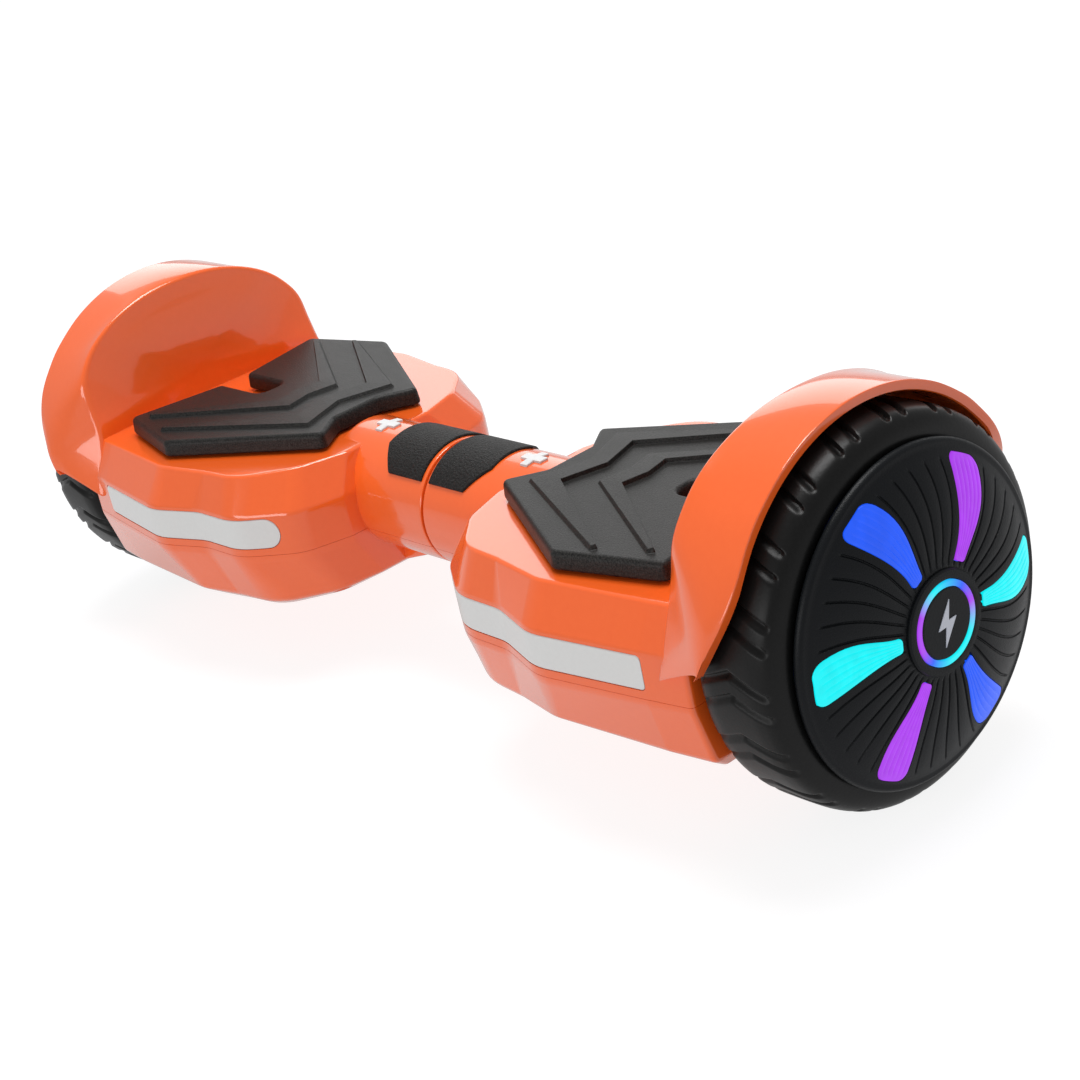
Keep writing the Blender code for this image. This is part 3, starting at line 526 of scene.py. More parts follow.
# %% From shape to mesh
def mesh_of(name, shape, side=1):
    points, faces = shape
    mesh = bpy.data.meshes.new(name)
    mesh.from_pydata([(side * x * MM, y * MM, z * MM) for x, y, z in points], [], faces)
    work = bmesh.new()
    work.from_mesh(mesh)
    bmesh.ops.remove_doubles(work, verts=work.verts, dist=2e-6)
    bmesh.ops.recalc_face_normals(work, faces=work.faces)
    work.to_mesh(mesh)
    work.free()
    return mesh


def evaluated_mesh(holder):
    """The mesh that an object's modifiers make, with the object and its helpers left as they are."""
    bpy.context.view_layer.update()
    graph = bpy.context.evaluated_depsgraph_get()
    return bpy.data.meshes.new_from_object(holder.evaluated_get(graph), depsgraph=graph)


def carve(name, base, steps, side=1):
    """The base with each step's shape cut from it or joined to it, in order."""
    holder = bpy.data.objects.new(name, mesh_of(name, base, side))
    scene.collection.objects.link(holder)
    helpers = [holder]
    for number, (operation, shape) in enumerate(steps):
        tool = bpy.data.objects.new(f"{name}_{number}", mesh_of(f"{name}_{number}", shape, side))
        scene.collection.objects.link(tool)
        helpers.append(tool)
        step = holder.modifiers.new(tool.name, "BOOLEAN")
        step.operation = operation
        step.object = tool
        step.solver = "MANIFOLD"
    mesh = evaluated_mesh(holder)
    for helper in helpers:
        bpy.data.objects.remove(helper, do_unlink=True)
    return mesh

# %% [markdown]
# A finished piece gets its materials and its body, and the solids it stands for are hidden. Its
# shading is smooth except at real edges. Weighted normals make the flat facets shade flat, so
# that only the rounded edges catch the light. The count of open edges shows that it is closed.

# %% From mesh to piece
def open_edges(mesh):
    counts = np.zeros(len(mesh.edges), int)
    edges = np.zeros(len(mesh.loops), int)
    mesh.loops.foreach_get("edge_index", edges)
    np.add.at(counts, edges, 1)
    return int((counts != 2).sum())


def add_piece(name, mesh, materials, body, stands_for, smooth=30, weighted=True, bevel=None):
    """Finishes a mesh as one visible piece that rides on a body and stands for CAD solids."""
    chosen = np.zeros(len(mesh.polygons), np.int32)
    mesh.polygons.foreach_get("material_index", chosen)
    mesh.materials.clear()
    for material in materials if isinstance(materials, (list, tuple)) else [materials]:
        mesh.materials.append(material)
    mesh.polygons.foreach_set("material_index", chosen % len(mesh.materials))
    mesh.shade_smooth()
    mesh.set_sharp_from_angle(angle=math.radians(smooth))
    piece = bpy.data.objects.new(name, mesh)
    scene.collection.objects.link(piece)
    if bevel:
        edge = piece.modifiers.new("edge", "BEVEL")
        edge.width = bevel * MM
        edge.segments = 2
        edge.limit_method = "ANGLE"
        edge.angle_limit = math.radians(25)
        edge.miter_outer = "MITER_ARC"
    if weighted:
        normals = piece.modifiers.new("normals", "WEIGHTED_NORMAL")
        normals.keep_sharp = True
        normals.weight = 60
    if bevel or weighted:
        piece.data = evaluated_mesh(piece)
        piece.modifiers.clear()
    piece.name = name
    piece.data.name = name
    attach(piece, body)
    stands_for = [stands_for] if isinstance(stands_for, str) else list(stands_for)
    if stands_for:
        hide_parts(*stands_for)
    print(f"{name}: {len(piece.data.polygons)} faces, {open_edges(piece.data)} open edges")
    return piece

# %% [markdown]
# One half body is a lofted form with seven corners on each side. Its plan is given at five
# heights, and both the plan's corners and the changes of slope between the heights are rounded.
# That gives broad facets with soft edges, which is what moulded plastic looks like. The CAD
# model uses the same form with fewer points.

# %% The half body's form
LEVELS = (
    (33.0, ((70, 14), (72, 38), (90, 64), (112, 67), (136, 71), (200, 67), (222, 65))),
    (40.0, ((57, 22), (60, 46), (80, 73), (110, 76), (137, 81), (202, 77), (226, 74))),
    (66.0, ((52, 38), (60, 63), (88, 82), (117, 82.5), (146, 92), (204, 84), (226, 80.5))),
    (89.0, ((52, 38), (60, 63), (88, 82), (117, 82.5), (146, 92), (204, 84), (226, 80.5))),
    (107.5, ((58, 26), (67, 51), (88, 73), (113, 75.5), (145, 81), (205, 74), (226, 71))),
)
CORNER_R = (6, 22, 30, 30, 30, 16, 3)
SLOPE_R = (0, 2.2, 6, 12, 6, 2.2, 0)
WALL = 3.0
SEAM = 0.6
SPLIT_Z = 68.0


def body_plan(corners, steps):
    front = [(x, -y) for x, y in corners]
    rear = [(x, y) for x, y in reversed(corners)]
    return round_loop(front + rear, CORNER_R + CORNER_R[::-1], steps)


def body_form():
    """The outer form: every point of the plan is followed up through the heights on a smooth path."""
    plans = [(height, body_plan(corners, 6)) for height, corners in LEVELS]
    plans = [(BOTTOM_Z, inset(plans[0][1], 2.4)), *plans, (DECK_Z, inset(plans[-1][1], 2.4))]
    columns = []
    for spot in range(len(plans[0][1])):
        path = [(*plan[spot], height) for height, plan in plans]
        columns.append(round_path(path, SLOPE_R, 4))
    return loft(np.stack(columns, 1))


def body_hollow():
    rings = []
    for height, corners in LEVELS:
        level = max(BOTTOM_Z + WALL, min(DECK_Z - WALL, height))
        rings.append([(x, y, level) for x, y in inset(body_plan(corners, 2), WALL)])
    return loft(rings)


def neck_form():
    profile = (
        (SEAM, 0), (SEAM, NECK_R - 1.3), (SEAM + 0.4, NECK_R - 0.4), (SEAM + 1.3, NECK_R),
        (74, NECK_R), (74, 0),
    )
    return lathe(profile, 128, NECK_Z)

# %% [markdown]
# The mudguard rises from the deck as an upright wall with a rounded crest, and sweeps outwards
# over the tyre to a rim. Three lines describe it: the crease at the wall, a middle line and the
# rim. A smooth curve runs through the stations of each line and another across the three lines.

# %% The mudguard's lines
CREASE = (
    (212, 83.2, 80.5), (215, 74.5, 107.5), (218.5, 73, 122), (221.5, 72, 137), (223, 65, 148.5),
    (223.5, 54, 158), (224, 39, 165), (224, 21, 169.5), (224, 0, 171),
)
RIM_DEGREES = (85, 77, 68, 59, 50, 41, 28, 14, 0)
GUARD_R = 91.0
GUARD_X = 260.0
WELL_R = 86.5


def smooth_line(points, per_span):
    """A Catmull-Rom curve through the points."""
    points = np.asarray(points, float)
    ends = np.vstack([2 * points[0] - points[1], points, 2 * points[-1] - points[-2]])
    result = []
    for index in range(len(points) - 1):
        a, b, c, d = ends[index:index + 4]
        for t in np.arange(per_span) / per_span:
            result.append(0.5 * (2 * b + (c - a) * t + (2 * a - 5 * b + 4 * c - d) * t ** 2
                                 + (3 * b - a - 3 * c + d) * t ** 3))
    result.append(points[-1])
    return np.array(result)


def guard_lines():
    crease, middle, rim = [], [], []
    for (x, y, z), degrees in zip(CREASE, RIM_DEGREES):
        angle = math.radians(degrees)
        narrow = 18.0 * (max(0, degrees - 60) / 25) ** 1.5
        reach = 0.25 * math.hypot(y, z - AXLE_Z) + 0.75 * GUARD_R
        crease.append((x, -y, z))
        middle.append((234.0, -reach * math.sin(angle), AXLE_Z + reach * math.cos(angle)))
        rim.append((GUARD_X - narrow, -GUARD_R * math.sin(angle), AXLE_Z + GUARD_R * math.cos(angle)))
    lines = []
    for line, narrow in ((crease, 0.0), (middle, 0.5), (rim, 3.0)):
        x, y, z = line[0]
        foot = [(x - narrow * share, y + 3.4 * share ** 2, z - 1.6 * share) for share in (1.0, 0.5)]
        half = foot + line
        whole = half + [(x, -y, z) for x, y, z in reversed(half[:-1])]
        lines.append(smooth_line(whole, 5))
    return lines

# %% [markdown]
# The three lines are joined into a solid: from a hub in the wall, over the crest, along the arch
# and round the lip to a second hub inside the rim. The room for the tyre is cut from it later.

# %% The mudguard's solid
def guard_form():
    """The mudguard as a solid, before the room for the tyre is cut from it."""
    bend = 0.35
    weights = [
        ((t - bend) * (t - 1) / bend, t * (t - 1) / (bend * (bend - 1)), t * (t - bend) / (1 - bend))
        for t in np.linspace(0.16, 0.97, 9)
    ]
    wall_hub = np.array((219.5, 0, 122))
    rim_hub = np.array((GUARD_X - 6, 0, AXLE_Z + 12))
    columns = []
    for crease, middle, rim in zip(*guard_lines()):
        arch = [a * crease + b * middle + c * rim for a, b, c in weights]
        wall = crease + (wall_hub - crease) / np.linalg.norm(wall_hub - crease) * 7
        cap = rim + (rim_hub - rim) / np.linalg.norm(rim_hub - rim) * 1.6
        crest = round_corner(wall, crease, arch[0], 4.5, 5)
        lip = round_corner(arch[-1], rim, cap, 1.3, 3)
        columns.append(np.vstack([[wall], crest, arch, lip, [cap]]))
    rings = np.stack(columns, 1)
    inner = [
        wall_hub + (rings[0] - wall_hub) * (share, 1, 1) * share for share in (0.25, 0.5, 0.75, 0.9)
    ]
    rings = np.concatenate([inner, rings])
    points, faces = loft(rings, caps=False)
    count = rings.shape[1]
    for hub, row in ((wall_hub, 0), (rim_hub, len(rings) - 1)):
        points.append(tuple(hub))
        for step in range(count):
            faces.append((row * count + step, row * count + (step + 1) % count, len(points) - 1))
    return points, faces


def tyre_room():
    """The space cut for the tyre, with a small flare where it leaves the rim."""
    profile = (
        (226.5, 0), (226.5, 79), (228.5, 80.4), (231, 81.5), (234, 83.3), (237, 84.8), (240, 85.8),
        (243, WELL_R), (GUARD_X - 1.0, WELL_R), (GUARD_X + 1.0, WELL_R + 1.4), (300, WELL_R + 1.4),
        (300, 0),
    )
    return lathe(profile, 180)

# %% [markdown]
# A strip light runs round the widest band of each half, front and rear. Its path is taken from
# the body's own plan, so the lens lies exactly in the surface. The same function makes the lens
# and, a little larger and deeper, the recess that it sits in.

# %% Strip lights
LIGHT_Z = (72.0, 87.5)
LIGHT_ENDS_X = (68.0, 204.0)


def band_path():
    """The band's plan, how far along it each point is, and where the light starts and stops."""
    steps = 8
    front_points = (steps + 1) * len(CORNER_R)
    plan = body_plan(LEVELS[2][1], steps)[:front_points]
    plan = plan[(plan[:, 0] > 56) & (plan[:, 0] < 222)]
    lengths = np.concatenate([[0], np.cumsum(np.linalg.norm(np.diff(plan, axis=0), axis=1))])
    return plan, lengths, *np.interp(LIGHT_ENDS_X, plan[:, 0], lengths)


def strip(front, out, depth, margin):
    """A bar let into the band: round at the neck side, with small corners at the wheel side."""
    plan, lengths, start, stop = band_path()
    start, stop = start - margin, stop + margin
    half = (LIGHT_Z[1] - LIGHT_Z[0]) / 2 + margin
    middle = sum(LIGHT_Z) / 2
    near_r, far_r = half * 0.98, 2.2 + margin
    near = start + near_r * (1 - np.cos(np.linspace(0.12, math.pi / 2, 12)))
    far = stop - far_r * (1 - np.cos(np.linspace(0.15, math.pi / 2, 6)))[::-1]
    stations = np.concatenate([near, np.arange(near[-1] + 1.2, far[0] - 0.6, 1.2), far])
    xs, ys = np.interp(stations, lengths, plan[:, 0]), np.interp(stations, lengths, plan[:, 1])
    dx, dy = np.gradient(xs, stations), np.gradient(ys, stations)
    across = np.stack([dy, -dx], 1) / np.hypot(dx, dy)[:, None]
    rings = []
    for s, x, y, (nx, ny) in zip(stations, xs, ys, across):
        from_near = min(near_r, s - start)
        from_far = min(far_r, stop - s)
        high = half - (near_r - math.sqrt(max(0, near_r ** 2 - (near_r - from_near) ** 2)))
        high -= far_r - math.sqrt(max(0, far_r ** 2 - (far_r - from_far) ** 2))
        soft = min(0.5, high / 2)
        outline = (
            (-depth, -high), (out - 0.35, -high), (out, -high + soft), (out, high - soft),
            (out - 0.35, high), (-depth, high),
        )
        rings.append([(x + nx * o, front * -(y + ny * o), middle + up) for o, up in outline])
    return loft(rings)

# %% [markdown]
# The lower shell has three small features of its own: a boss for the button or the charge inlet,
# a web under the neck, and deep wells for the screws.

# %% Details of the lower shell
SCREW_SPOTS = ((94, 40), (94, -40), (202, 0))
BOSS_X, BOSS_Y, BOSS_Z = 176.0, 88.0, 54.0
HAIRLINE = 0.09
CUT, JOIN = "DIFFERENCE", "UNION"


def boss_form():
    profile = ((62, 0), (62, 13), (BOSS_Y - 0.8, 13), (BOSS_Y - 0.2, 12.7), (BOSS_Y, 12), (BOSS_Y, 0))
    return facing_y(lathe(profile, 64, 0.0), BOSS_X, BOSS_Z)


def web_form():
    """The web under the neck, narrower at its lower edge."""
    outline = ((22, 56), (22, 51.5), (64, 37.5), (64, 56))
    rings = []
    for y, drop in ((-8, 1.6), (-7.5, 0.5), (-6.4, 0), (6.4, 0), (7.5, 0.5), (8, 1.6)):
        rings.append([(x, y, z + (drop if z < 55 else 0)) for x, z in outline])
    return loft(rings)


def screw_well(x, y):
    profile = ((31, 0), (31, 5.6), (33, 5.0), (33.6, 4.6), (39, 4.6), (39, 2.7), (53, 2.7), (53, 0))
    return upright(lathe(profile, 32, 0.0), x, y)

# %% [markdown]
# Now the shells are put together. The upper one is the body, the neck and the mudguard joined,
# with the hollow, the room for the tyre, the lamp recesses and the part below the seam cut away.
# The lower one keeps the rest, with its screw posts. The seam between them is a hairline.

# %% Shells
def upper_steps():
    steps = [
        (JOIN, neck_form()), (JOIN, guard_form()), (CUT, body_hollow()),
        (CUT, rod_x(SEAM - 4, 70, NECK_R - WALL, NECK_Z, 64)), (CUT, tyre_room()),
        (CUT, block(-20, 280, -120, 120, 0, SPLIT_Z + HAIRLINE)),
        (CUT, block(214, 240, -10, 10, 60, AXLE_Z)), (CUT, rod_x(214, 240, 10, AXLE_Z, 48)),
    ]
    steps += [(CUT, rod_z(x, 0, 100, 112, 5.0, 32)) for x in (110, 143)]
    steps += [(CUT, strip(front, 3.0, 2.1, 0.28)) for front in (-1, 1)]
    return steps


def lower_steps(port_r):
    steps = [
        (JOIN, neck_form()), (JOIN, web_form()), (JOIN, boss_form()), (CUT, body_hollow()),
        (CUT, rod_x(SEAM - 4, 70, NECK_R - WALL, NECK_Z, 64)),
        (CUT, block(-20, 280, -120, 120, SPLIT_Z - HAIRLINE, 200)),
    ]
    steps += [(JOIN, rod_z(x, y, BOTTOM_Z + 1, 50.7, 7, 32)) for x, y in SCREW_SPOTS]
    steps += [(CUT, screw_well(x, y)) for x, y in SCREW_SPOTS]
    steps += [(CUT, rod_z(66, y, 28, 41, 5.0, 32)) for y in (-43, 43)]
    steps.append((CUT, rod_y(BOSS_X, BOSS_Z, 50, BOSS_Y + 4, port_r, 48)))
    return steps


BUTTON_HOLE_R, CHARGE_HOLE_R = 7.0, 8.0
for label, side in SIDES:
    upper = carve("upper", body_form(), upper_steps(), side)
    add_piece(f"{label}_upper_shell_finished", upper, PAINT, f"{label}_half", f"{label}_upper_shell")
    lower = carve("lower", body_form(), lower_steps(BUTTON_HOLE_R if side > 0 else CHARGE_HOLE_R), side)
    add_piece(f"{label}_lower_shell_finished", lower, PAINT, f"{label}_half", f"{label}_lower_shell")
    for front, place in ((-1, "front"), (1, "rear")):
        lens = mesh_of("lens", strip(front, 0.12, 1.7, 0.0), side)
        add_piece(f"{label}_{place}_lens", lens, LENS, f"{label}_half", f"{label}_{place}_light")

# %% [markdown]
# A foot mat is a thick moulded slab with a slot at the wheel side and two raised chevrons. Each
# chevron is a band that is widest at its two points and narrows to small hipped ends. It leans
# up from the neck side and drops steeply on the wheel side, so a shoe is stopped from sliding
# outwards. The bands are joined to the slab, and then every sharp edge gets a small bevel.

# %% Foot mats
MAT_LOW, MAT_HIGH = 109.0, 117.3
MAT_ROUND_Z, MAT_ROUND = 114.6, 2.7
MAT_EDGE = ((80, 13.5), (67.5, 31), (148.5, 74), (203, 61))
MAT_SLOT = ((191.5, 7.5), (155, 7.5))
CHEVRONS = (
    (((163, 65.6), (83.5, 27.6), (94, 0)), ((165.5, 62.6), (100, 22.2), (107.2, 0))),
    (((187.5, 57.0), (116, 15.6), (119.5, 0)), ((191, 54.4), (130, 13.4), (133, 0))),
)
CHEVRON_RISE = 2.1


def mat_plan():
    front = [(x, -y) for x, y in reversed(MAT_EDGE)]
    slot = list(MAT_SLOT) + [(x, -y) for x, y in reversed(MAT_SLOT)]
    radii = [5, 7, 4, 4, 4, 4, 7, 5, 4, 6, 6, 4]
    return round_loop(front + list(MAT_EDGE) + slot, radii, 6)[::-1]


def mat_form():
    plan = mat_plan()
    rows = [(MAT_LOW, 0.5), (MAT_LOW + 0.5, 0.1), (MAT_LOW + 1.2, 0.0), (MAT_ROUND_Z, 0.4)]
    for step in range(1, 5):
        angle = math.pi / 2 * step / 4
        rows.append((MAT_ROUND_Z + MAT_ROUND * math.sin(angle), 0.4 + 2.4 * (1 - math.cos(angle))))
    return loft([[(x, y, z) for x, y in inset(plan, distance)] for z, distance in rows])


def chevron(neck_line, wheel_line):
    """A raised band between two zigzag lines, sloped on one side and steep on the other."""
    neck_line = [(x, -y) for x, y in neck_line] + list(reversed(neck_line[:-1]))
    wheel_line = [(x, -y) for x, y in wheel_line] + list(reversed(wheel_line[:-1]))
    rings = []
    for (x, y), (u, v) in zip(neck_line, wheel_line):
        width = math.hypot(u - x, v - y)
        lean, drop = 1.5 / width, 0.5 / width
        low, high = MAT_HIGH - 1.6, MAT_HIGH + CHEVRON_RISE
        rings.append([
            (x, y, low), (x, y, MAT_HIGH), (x + lean * (u - x), y + lean * (v - y), high - 0.4),
            (u - drop * (u - x), v - drop * (v - y), high), (u, v, MAT_HIGH), (u, v, low),
        ])
    front, rear = (
        [(x + 0.8, y + 0.9 * way, min(z, MAT_HIGH - 0.4)) for x, y, z in ring]
        for ring, way in ((rings[0], -1), (rings[-1], 1))
    )
    return loft([front, *rings, rear])


for label, side in SIDES:
    stems = [(JOIN, rod_z(x, 0, 101.5, MAT_LOW + 2, 4.0, 24)) for x in (110, 143)]
    ridges = [(JOIN, chevron(*lines)) for lines in CHEVRONS]
    mat = carve("mat", mat_form(), stems + ridges, side)
    add_piece(f"{label}_mat_finished", mat, MAT_RUBBER, f"{label}_mat", f"{label}_foot_mat", bevel=0.55)

# %% [markdown]
# The grip patches wrap over the neck on each side of the seam, and a small plus sign is let into
# the plastic behind each. Both are bent round the neck, so both are lofted along it.

# %% Neck trim
GRIP_DEGREES = 51.0
PLUS_X = 55.0


def on_neck(x, degrees, height):
    angle = math.radians(degrees)
    return (x, (NECK_R + height) * math.sin(angle), NECK_Z + (NECK_R + height) * math.cos(angle))


def grip_form():
    edges = [-24, 24, -50.3, 50.3]
    rings = []
    for degrees in np.unique(np.concatenate([np.linspace(-GRIP_DEGREES, GRIP_DEGREES, 61), edges])):
        far = 39 - max(0, abs(degrees) - 24) * 11 / 27
        soft = 0.45 if abs(degrees) > 50.9 else 0.0
        outline = (
            (3, -0.3), (far, -0.3), (far, 0.75 - soft), (far - 0.45, 1.2 - soft),
            (3.45, 1.2 - soft), (3, 0.75 - soft),
        )
        rings.append([on_neck(x, degrees, height) for x, height in outline])
    return loft(rings)


def plus_form():
    arm, half = 7.0, 2.4
    stations = (
        (-arm, half), (-half - 0.01, half), (-half, arm), (0, arm), (half, arm),
        (half + 0.01, half), (arm, half),
    )
    rings = []
    for y, reach in stations:
        top = NECK_Z + math.sqrt(NECK_R ** 2 - y ** 2)
        outline = (
            (-reach, -1.0), (reach, -1.0), (reach, 0.8), (reach - 0.3, 1.1), (0.3 - reach, 1.1),
            (-reach, 0.8),
        )
        rings.append([(PLUS_X + x, y, top + rise) for x, rise in outline])
    return loft(rings)


for label, side in SIDES:
    half = f"{label}_half"
    grip, plus = mesh_of("grip", grip_form(), side), mesh_of("plus", plus_form(), side)
    add_piece(f"{label}_grip_finished", grip, GRIP_RUBBER, half, f"{label}_neck_grip")
    add_piece(f"{label}_plus_finished", plus, WHITE_PLASTIC, half, f"{label}_plus_inlay")

# %% [markdown]
# The tyre follows a rule, so Geometry Nodes shape it. The lathed tyre carries two attributes:
# how far round each point is, and how far across the tread. The columns of points lean back
# from the middle of the tread, like the grooves, so a groove never crosses a column and its
# edges stay crisp. The node tree only has to say how deep each point sinks.

# %% The tyre's mesh
GROOVE_PAIRS = 18
GROOVE_DEPTH = 1.9
TYRE_STEPS = GROOVE_PAIRS * 48
LEAN = 0.42


def tyre_profile():
    """Anticlockwise section of the tyre as (distance from the middle of the tread, radius)."""
    half = [
        (0, 82.5), (5, 82.45), (10, 82.3), (13, 81.9), (15.5, 81.3), (17.6, 80.2), (19.2, 78.6),
        (20.3, 76.6), (21.1, 74.2), (21.5, 71.8), (21.4, 69.6), (21.0, 67.6), (20.3, 65.8),
        (19.4, 64.4), (18.8, 62.8), (18.6, 61.3),
    ]
    fine = smooth_line([(x, y, 0) for x, y in half], 3)[:, :2]
    return np.vstack([fine[::-1] * (-1, 1), fine[1:]])


def tyre_mesh(side):
    profile = tyre_profile()
    steps = np.arange(TYRE_STEPS) / TYRE_STEPS
    points = []
    for offset, radius in profile:
        lean = LEAN * min(abs(offset), 21.0) / TYRE_R
        angles = 2 * math.pi * steps + lean
        ring = np.stack([np.full(TYRE_STEPS, TREAD_X + offset), -radius * np.sin(angles),
                         AXLE_Z + radius * np.cos(angles)], 1)
        points.append(ring)
    shape, faces = loft(points + [points[0]], caps=False)
    count = len(profile)
    shape = shape[: count * TYRE_STEPS]
    faces = [tuple(index % (count * TYRE_STEPS) for index in face) for face in faces]
    mesh = bpy.data.meshes.new("tyre")
    mesh.from_pydata([(side * x * MM, y * MM, z * MM) for x, y, z in shape], [], faces)
    if side > 0:
        mesh.flip_normals()
    marks = {
        "around": np.tile(steps, count),
        "across": np.repeat(np.abs(profile[:, 0]), TYRE_STEPS),
        "radius": np.repeat(profile[:, 1], TYRE_STEPS),
    }
    for name, values in marks.items():
        mesh.attributes.new(name, "FLOAT", "POINT").data.foreach_set("value", values)
    return mesh

# %% [markdown]
# These helpers write a Geometry Nodes tree: its sockets, a smooth ramp between two values, the
# attributes that the mesh carries, and the two nodes that every tree here ends in. A tree is
# run by a modifier, and the result is kept as a plain mesh.

# %% Helpers for node trees
def node_tree(name, inputs):
    tree = bpy.data.node_groups.new(name, "GeometryNodeTree")
    tree.interface.new_socket("Geometry", in_out="INPUT", socket_type="NodeSocketGeometry")
    for label, kind, value in inputs:
        socket = tree.interface.new_socket(label, in_out="INPUT", socket_type=kind)
        if value is not None:
            socket.default_value = value
    tree.interface.new_socket("Geometry", in_out="OUTPUT", socket_type="NodeSocketGeometry")
    return tree, tree.nodes.new("NodeGroupInput"), tree.nodes.new("NodeGroupOutput")


def ramp_between(tree, value, start, stop):
    """0 below start and 1 above stop, with a smooth rise. start may be above stop."""
    first, last = (0.0, 1.0) if start < stop else (1.0, 0.0)
    node = place_node(
        tree, "ShaderNodeMapRange", interpolation_type="SMOOTHSTEP", value=value,
        from_min=min(start, stop), from_max=max(start, stop), to_min=first, to_max=last)
    return node.outputs["Result"]


def named_value(tree, name):
    node = tree.nodes.new("GeometryNodeInputNamedAttribute")
    node.data_type = "FLOAT"
    node.inputs["Name"].default_value = name
    return node.outputs["Attribute"]


def real_and_painted(tree, shape, start, end):
    """The tree's end: copies made real, and the material set."""
    real = place_node(tree, "GeometryNodeRealizeInstances", geometry=shape)
    paint = place_node(
        tree, "GeometryNodeSetMaterial", geometry=real.outputs[0], material=start.outputs["Material"])
    tree.links.new(paint.outputs[0], end.inputs[0])


def through_tree(mesh, tree, values):
    """The plain mesh that a node tree makes from a mesh, with its inputs set by their identifiers."""
    holder = bpy.data.objects.new("holder", mesh)
    scene.collection.objects.link(holder)
    nodes = holder.modifiers.new("nodes", "NODES")
    nodes.node_group = tree
    for item in tree.interface.items_tree:
        if item.item_type == "SOCKET" and item.in_out == "INPUT" and item.name in values:
            nodes[item.identifier] = values[item.name]
    made = evaluated_mesh(holder)
    bpy.data.objects.remove(holder, do_unlink=True)
    return made

# %% [markdown]
# A pair of grooves repeats round the tyre. Each has one steep side and one soft side, and fades
# out where the tread turns into the side wall. The tree moves each point towards the axle.

# %% Tread
def groove_depth(tree, start):
    """How deep each point sinks: two grooves in each pair, faded out on the side wall."""
    turns = math_node(tree, "MULTIPLY", named_value(tree, "around"), start.outputs["Pairs"])
    place = math_node(tree, "FRACT", turns)
    grooves = []
    for first in (0.14, 0.48):
        rise = ramp_between(tree, place, first, first + 0.035)
        fall = ramp_between(tree, place, first + 0.18, first + 0.05)
        grooves.append(math_node(tree, "MULTIPLY", rise, fall))
    both = math_node(tree, "MAXIMUM", *grooves)
    fade = ramp_between(tree, named_value(tree, "across"), 19.3, 15.5)
    outer = ramp_between(tree, named_value(tree, "radius"), 74.0, 77.5)
    depth = math_node(tree, "MULTIPLY", math_node(tree, "MULTIPLY", both, fade), outer)
    return math_node(tree, "MULTIPLY", depth, start.outputs["Depth"])


def tread_tree():
    tree, start, end = node_tree("tread_grooves", [
        ("Pairs", "NodeSocketFloat", float(GROOVE_PAIRS)),
        ("Depth", "NodeSocketFloat", GROOVE_DEPTH * MM),
        ("Material", "NodeSocketMaterial", None),
    ])
    axis = place_node(
        tree, "ShaderNodeSeparateXYZ", vector=tree.nodes.new("GeometryNodeInputPosition").outputs[0])
    up = math_node(tree, "SUBTRACT", axis.outputs["Z"], AXLE_Z * MM)
    out = place_node(tree, "ShaderNodeCombineXYZ", y=axis.outputs["Y"], z=up)
    unit = place_node(tree, "ShaderNodeVectorMath", operation="NORMALIZE", vector=out.outputs[0])
    inwards = math_node(tree, "MULTIPLY", groove_depth(tree, start), -1.0)
    sink = place_node(
        tree, "ShaderNodeVectorMath", operation="SCALE", vector=unit.outputs[0], scale=inwards)
    move = place_node(
        tree, "GeometryNodeSetPosition", geometry=start.outputs["Geometry"], offset=sink.outputs[0])
    real_and_painted(tree, move.outputs[0], start, end)
    return tree


TREAD = tread_tree()
TREAD_VALUES = {"Pairs": float(GROOVE_PAIRS), "Depth": GROOVE_DEPTH * MM, "Material": TYRE_RUBBER}
for label, side in SIDES:
    tyre = through_tree(tyre_mesh(side), TREAD, TREAD_VALUES)
    add_piece(f"{label}_tyre_finished", tyre, TYRE_RUBBER, f"{label}_wheel", f"{label}_tyre",
              smooth=60, weighted=False)

# %% [markdown]
# The hub cover is a dome, and everything on it follows a few curves: how far the face stands out
# at a radius, how the blades and the folds between them turn, and how wide a blade is.

# %% Curves of the hub
RIM_R, NOSE_R, NOSE_X, DROP = 71.0, 22.0, 287.4, 11.4
BLADES, BLADE_FIRST = 6, 118.0
FOLDS = 7 * BLADES
FOLD_FIRST = BLADE_FIRST + 6.6


def dome_x(radius):
    return NOSE_X - DROP * (max(0.0, radius - NOSE_R) / (RIM_R - NOSE_R)) ** 2.2


def blade_turn(radius):
    """How far a blade's centre line has turned at a radius, in degrees."""
    share = (radius - 24) / 42
    return -1.5 - 2.5 * math.sin(math.pi * min(1.0, share)) + 3.5 * share ** 2


def fold_turn(radius):
    share = min(1.0, max(0.0, (radius - 22) / 44))
    return -3.6 * math.sin(math.pi * share) - 1.0 * (1 - share)


def blade_half_width(radius):
    share = (radius - 24) / 42
    return 3.1 + 6.0 * math.sin(math.pi / 2 * min(1.0, share * 1.15)) ** 1.9


def ramp_value(value, start, stop):
    share = min(1.0, max(0.0, (value - start) / (stop - start)))
    return share * share * (3 - 2 * share)


def at_wheel(x, radius, degrees):
    angle = math.radians(degrees)
    return (x, radius * math.cos(angle), AXLE_Z + radius * math.sin(angle))

# %% [markdown]
# The cover has fine curved grooves, like the folds of a fan. Its points are laid out along them:
# seven fold lines to each window, with extra points close on both sides of every line. A groove
# is then just a line of points pushed inwards.

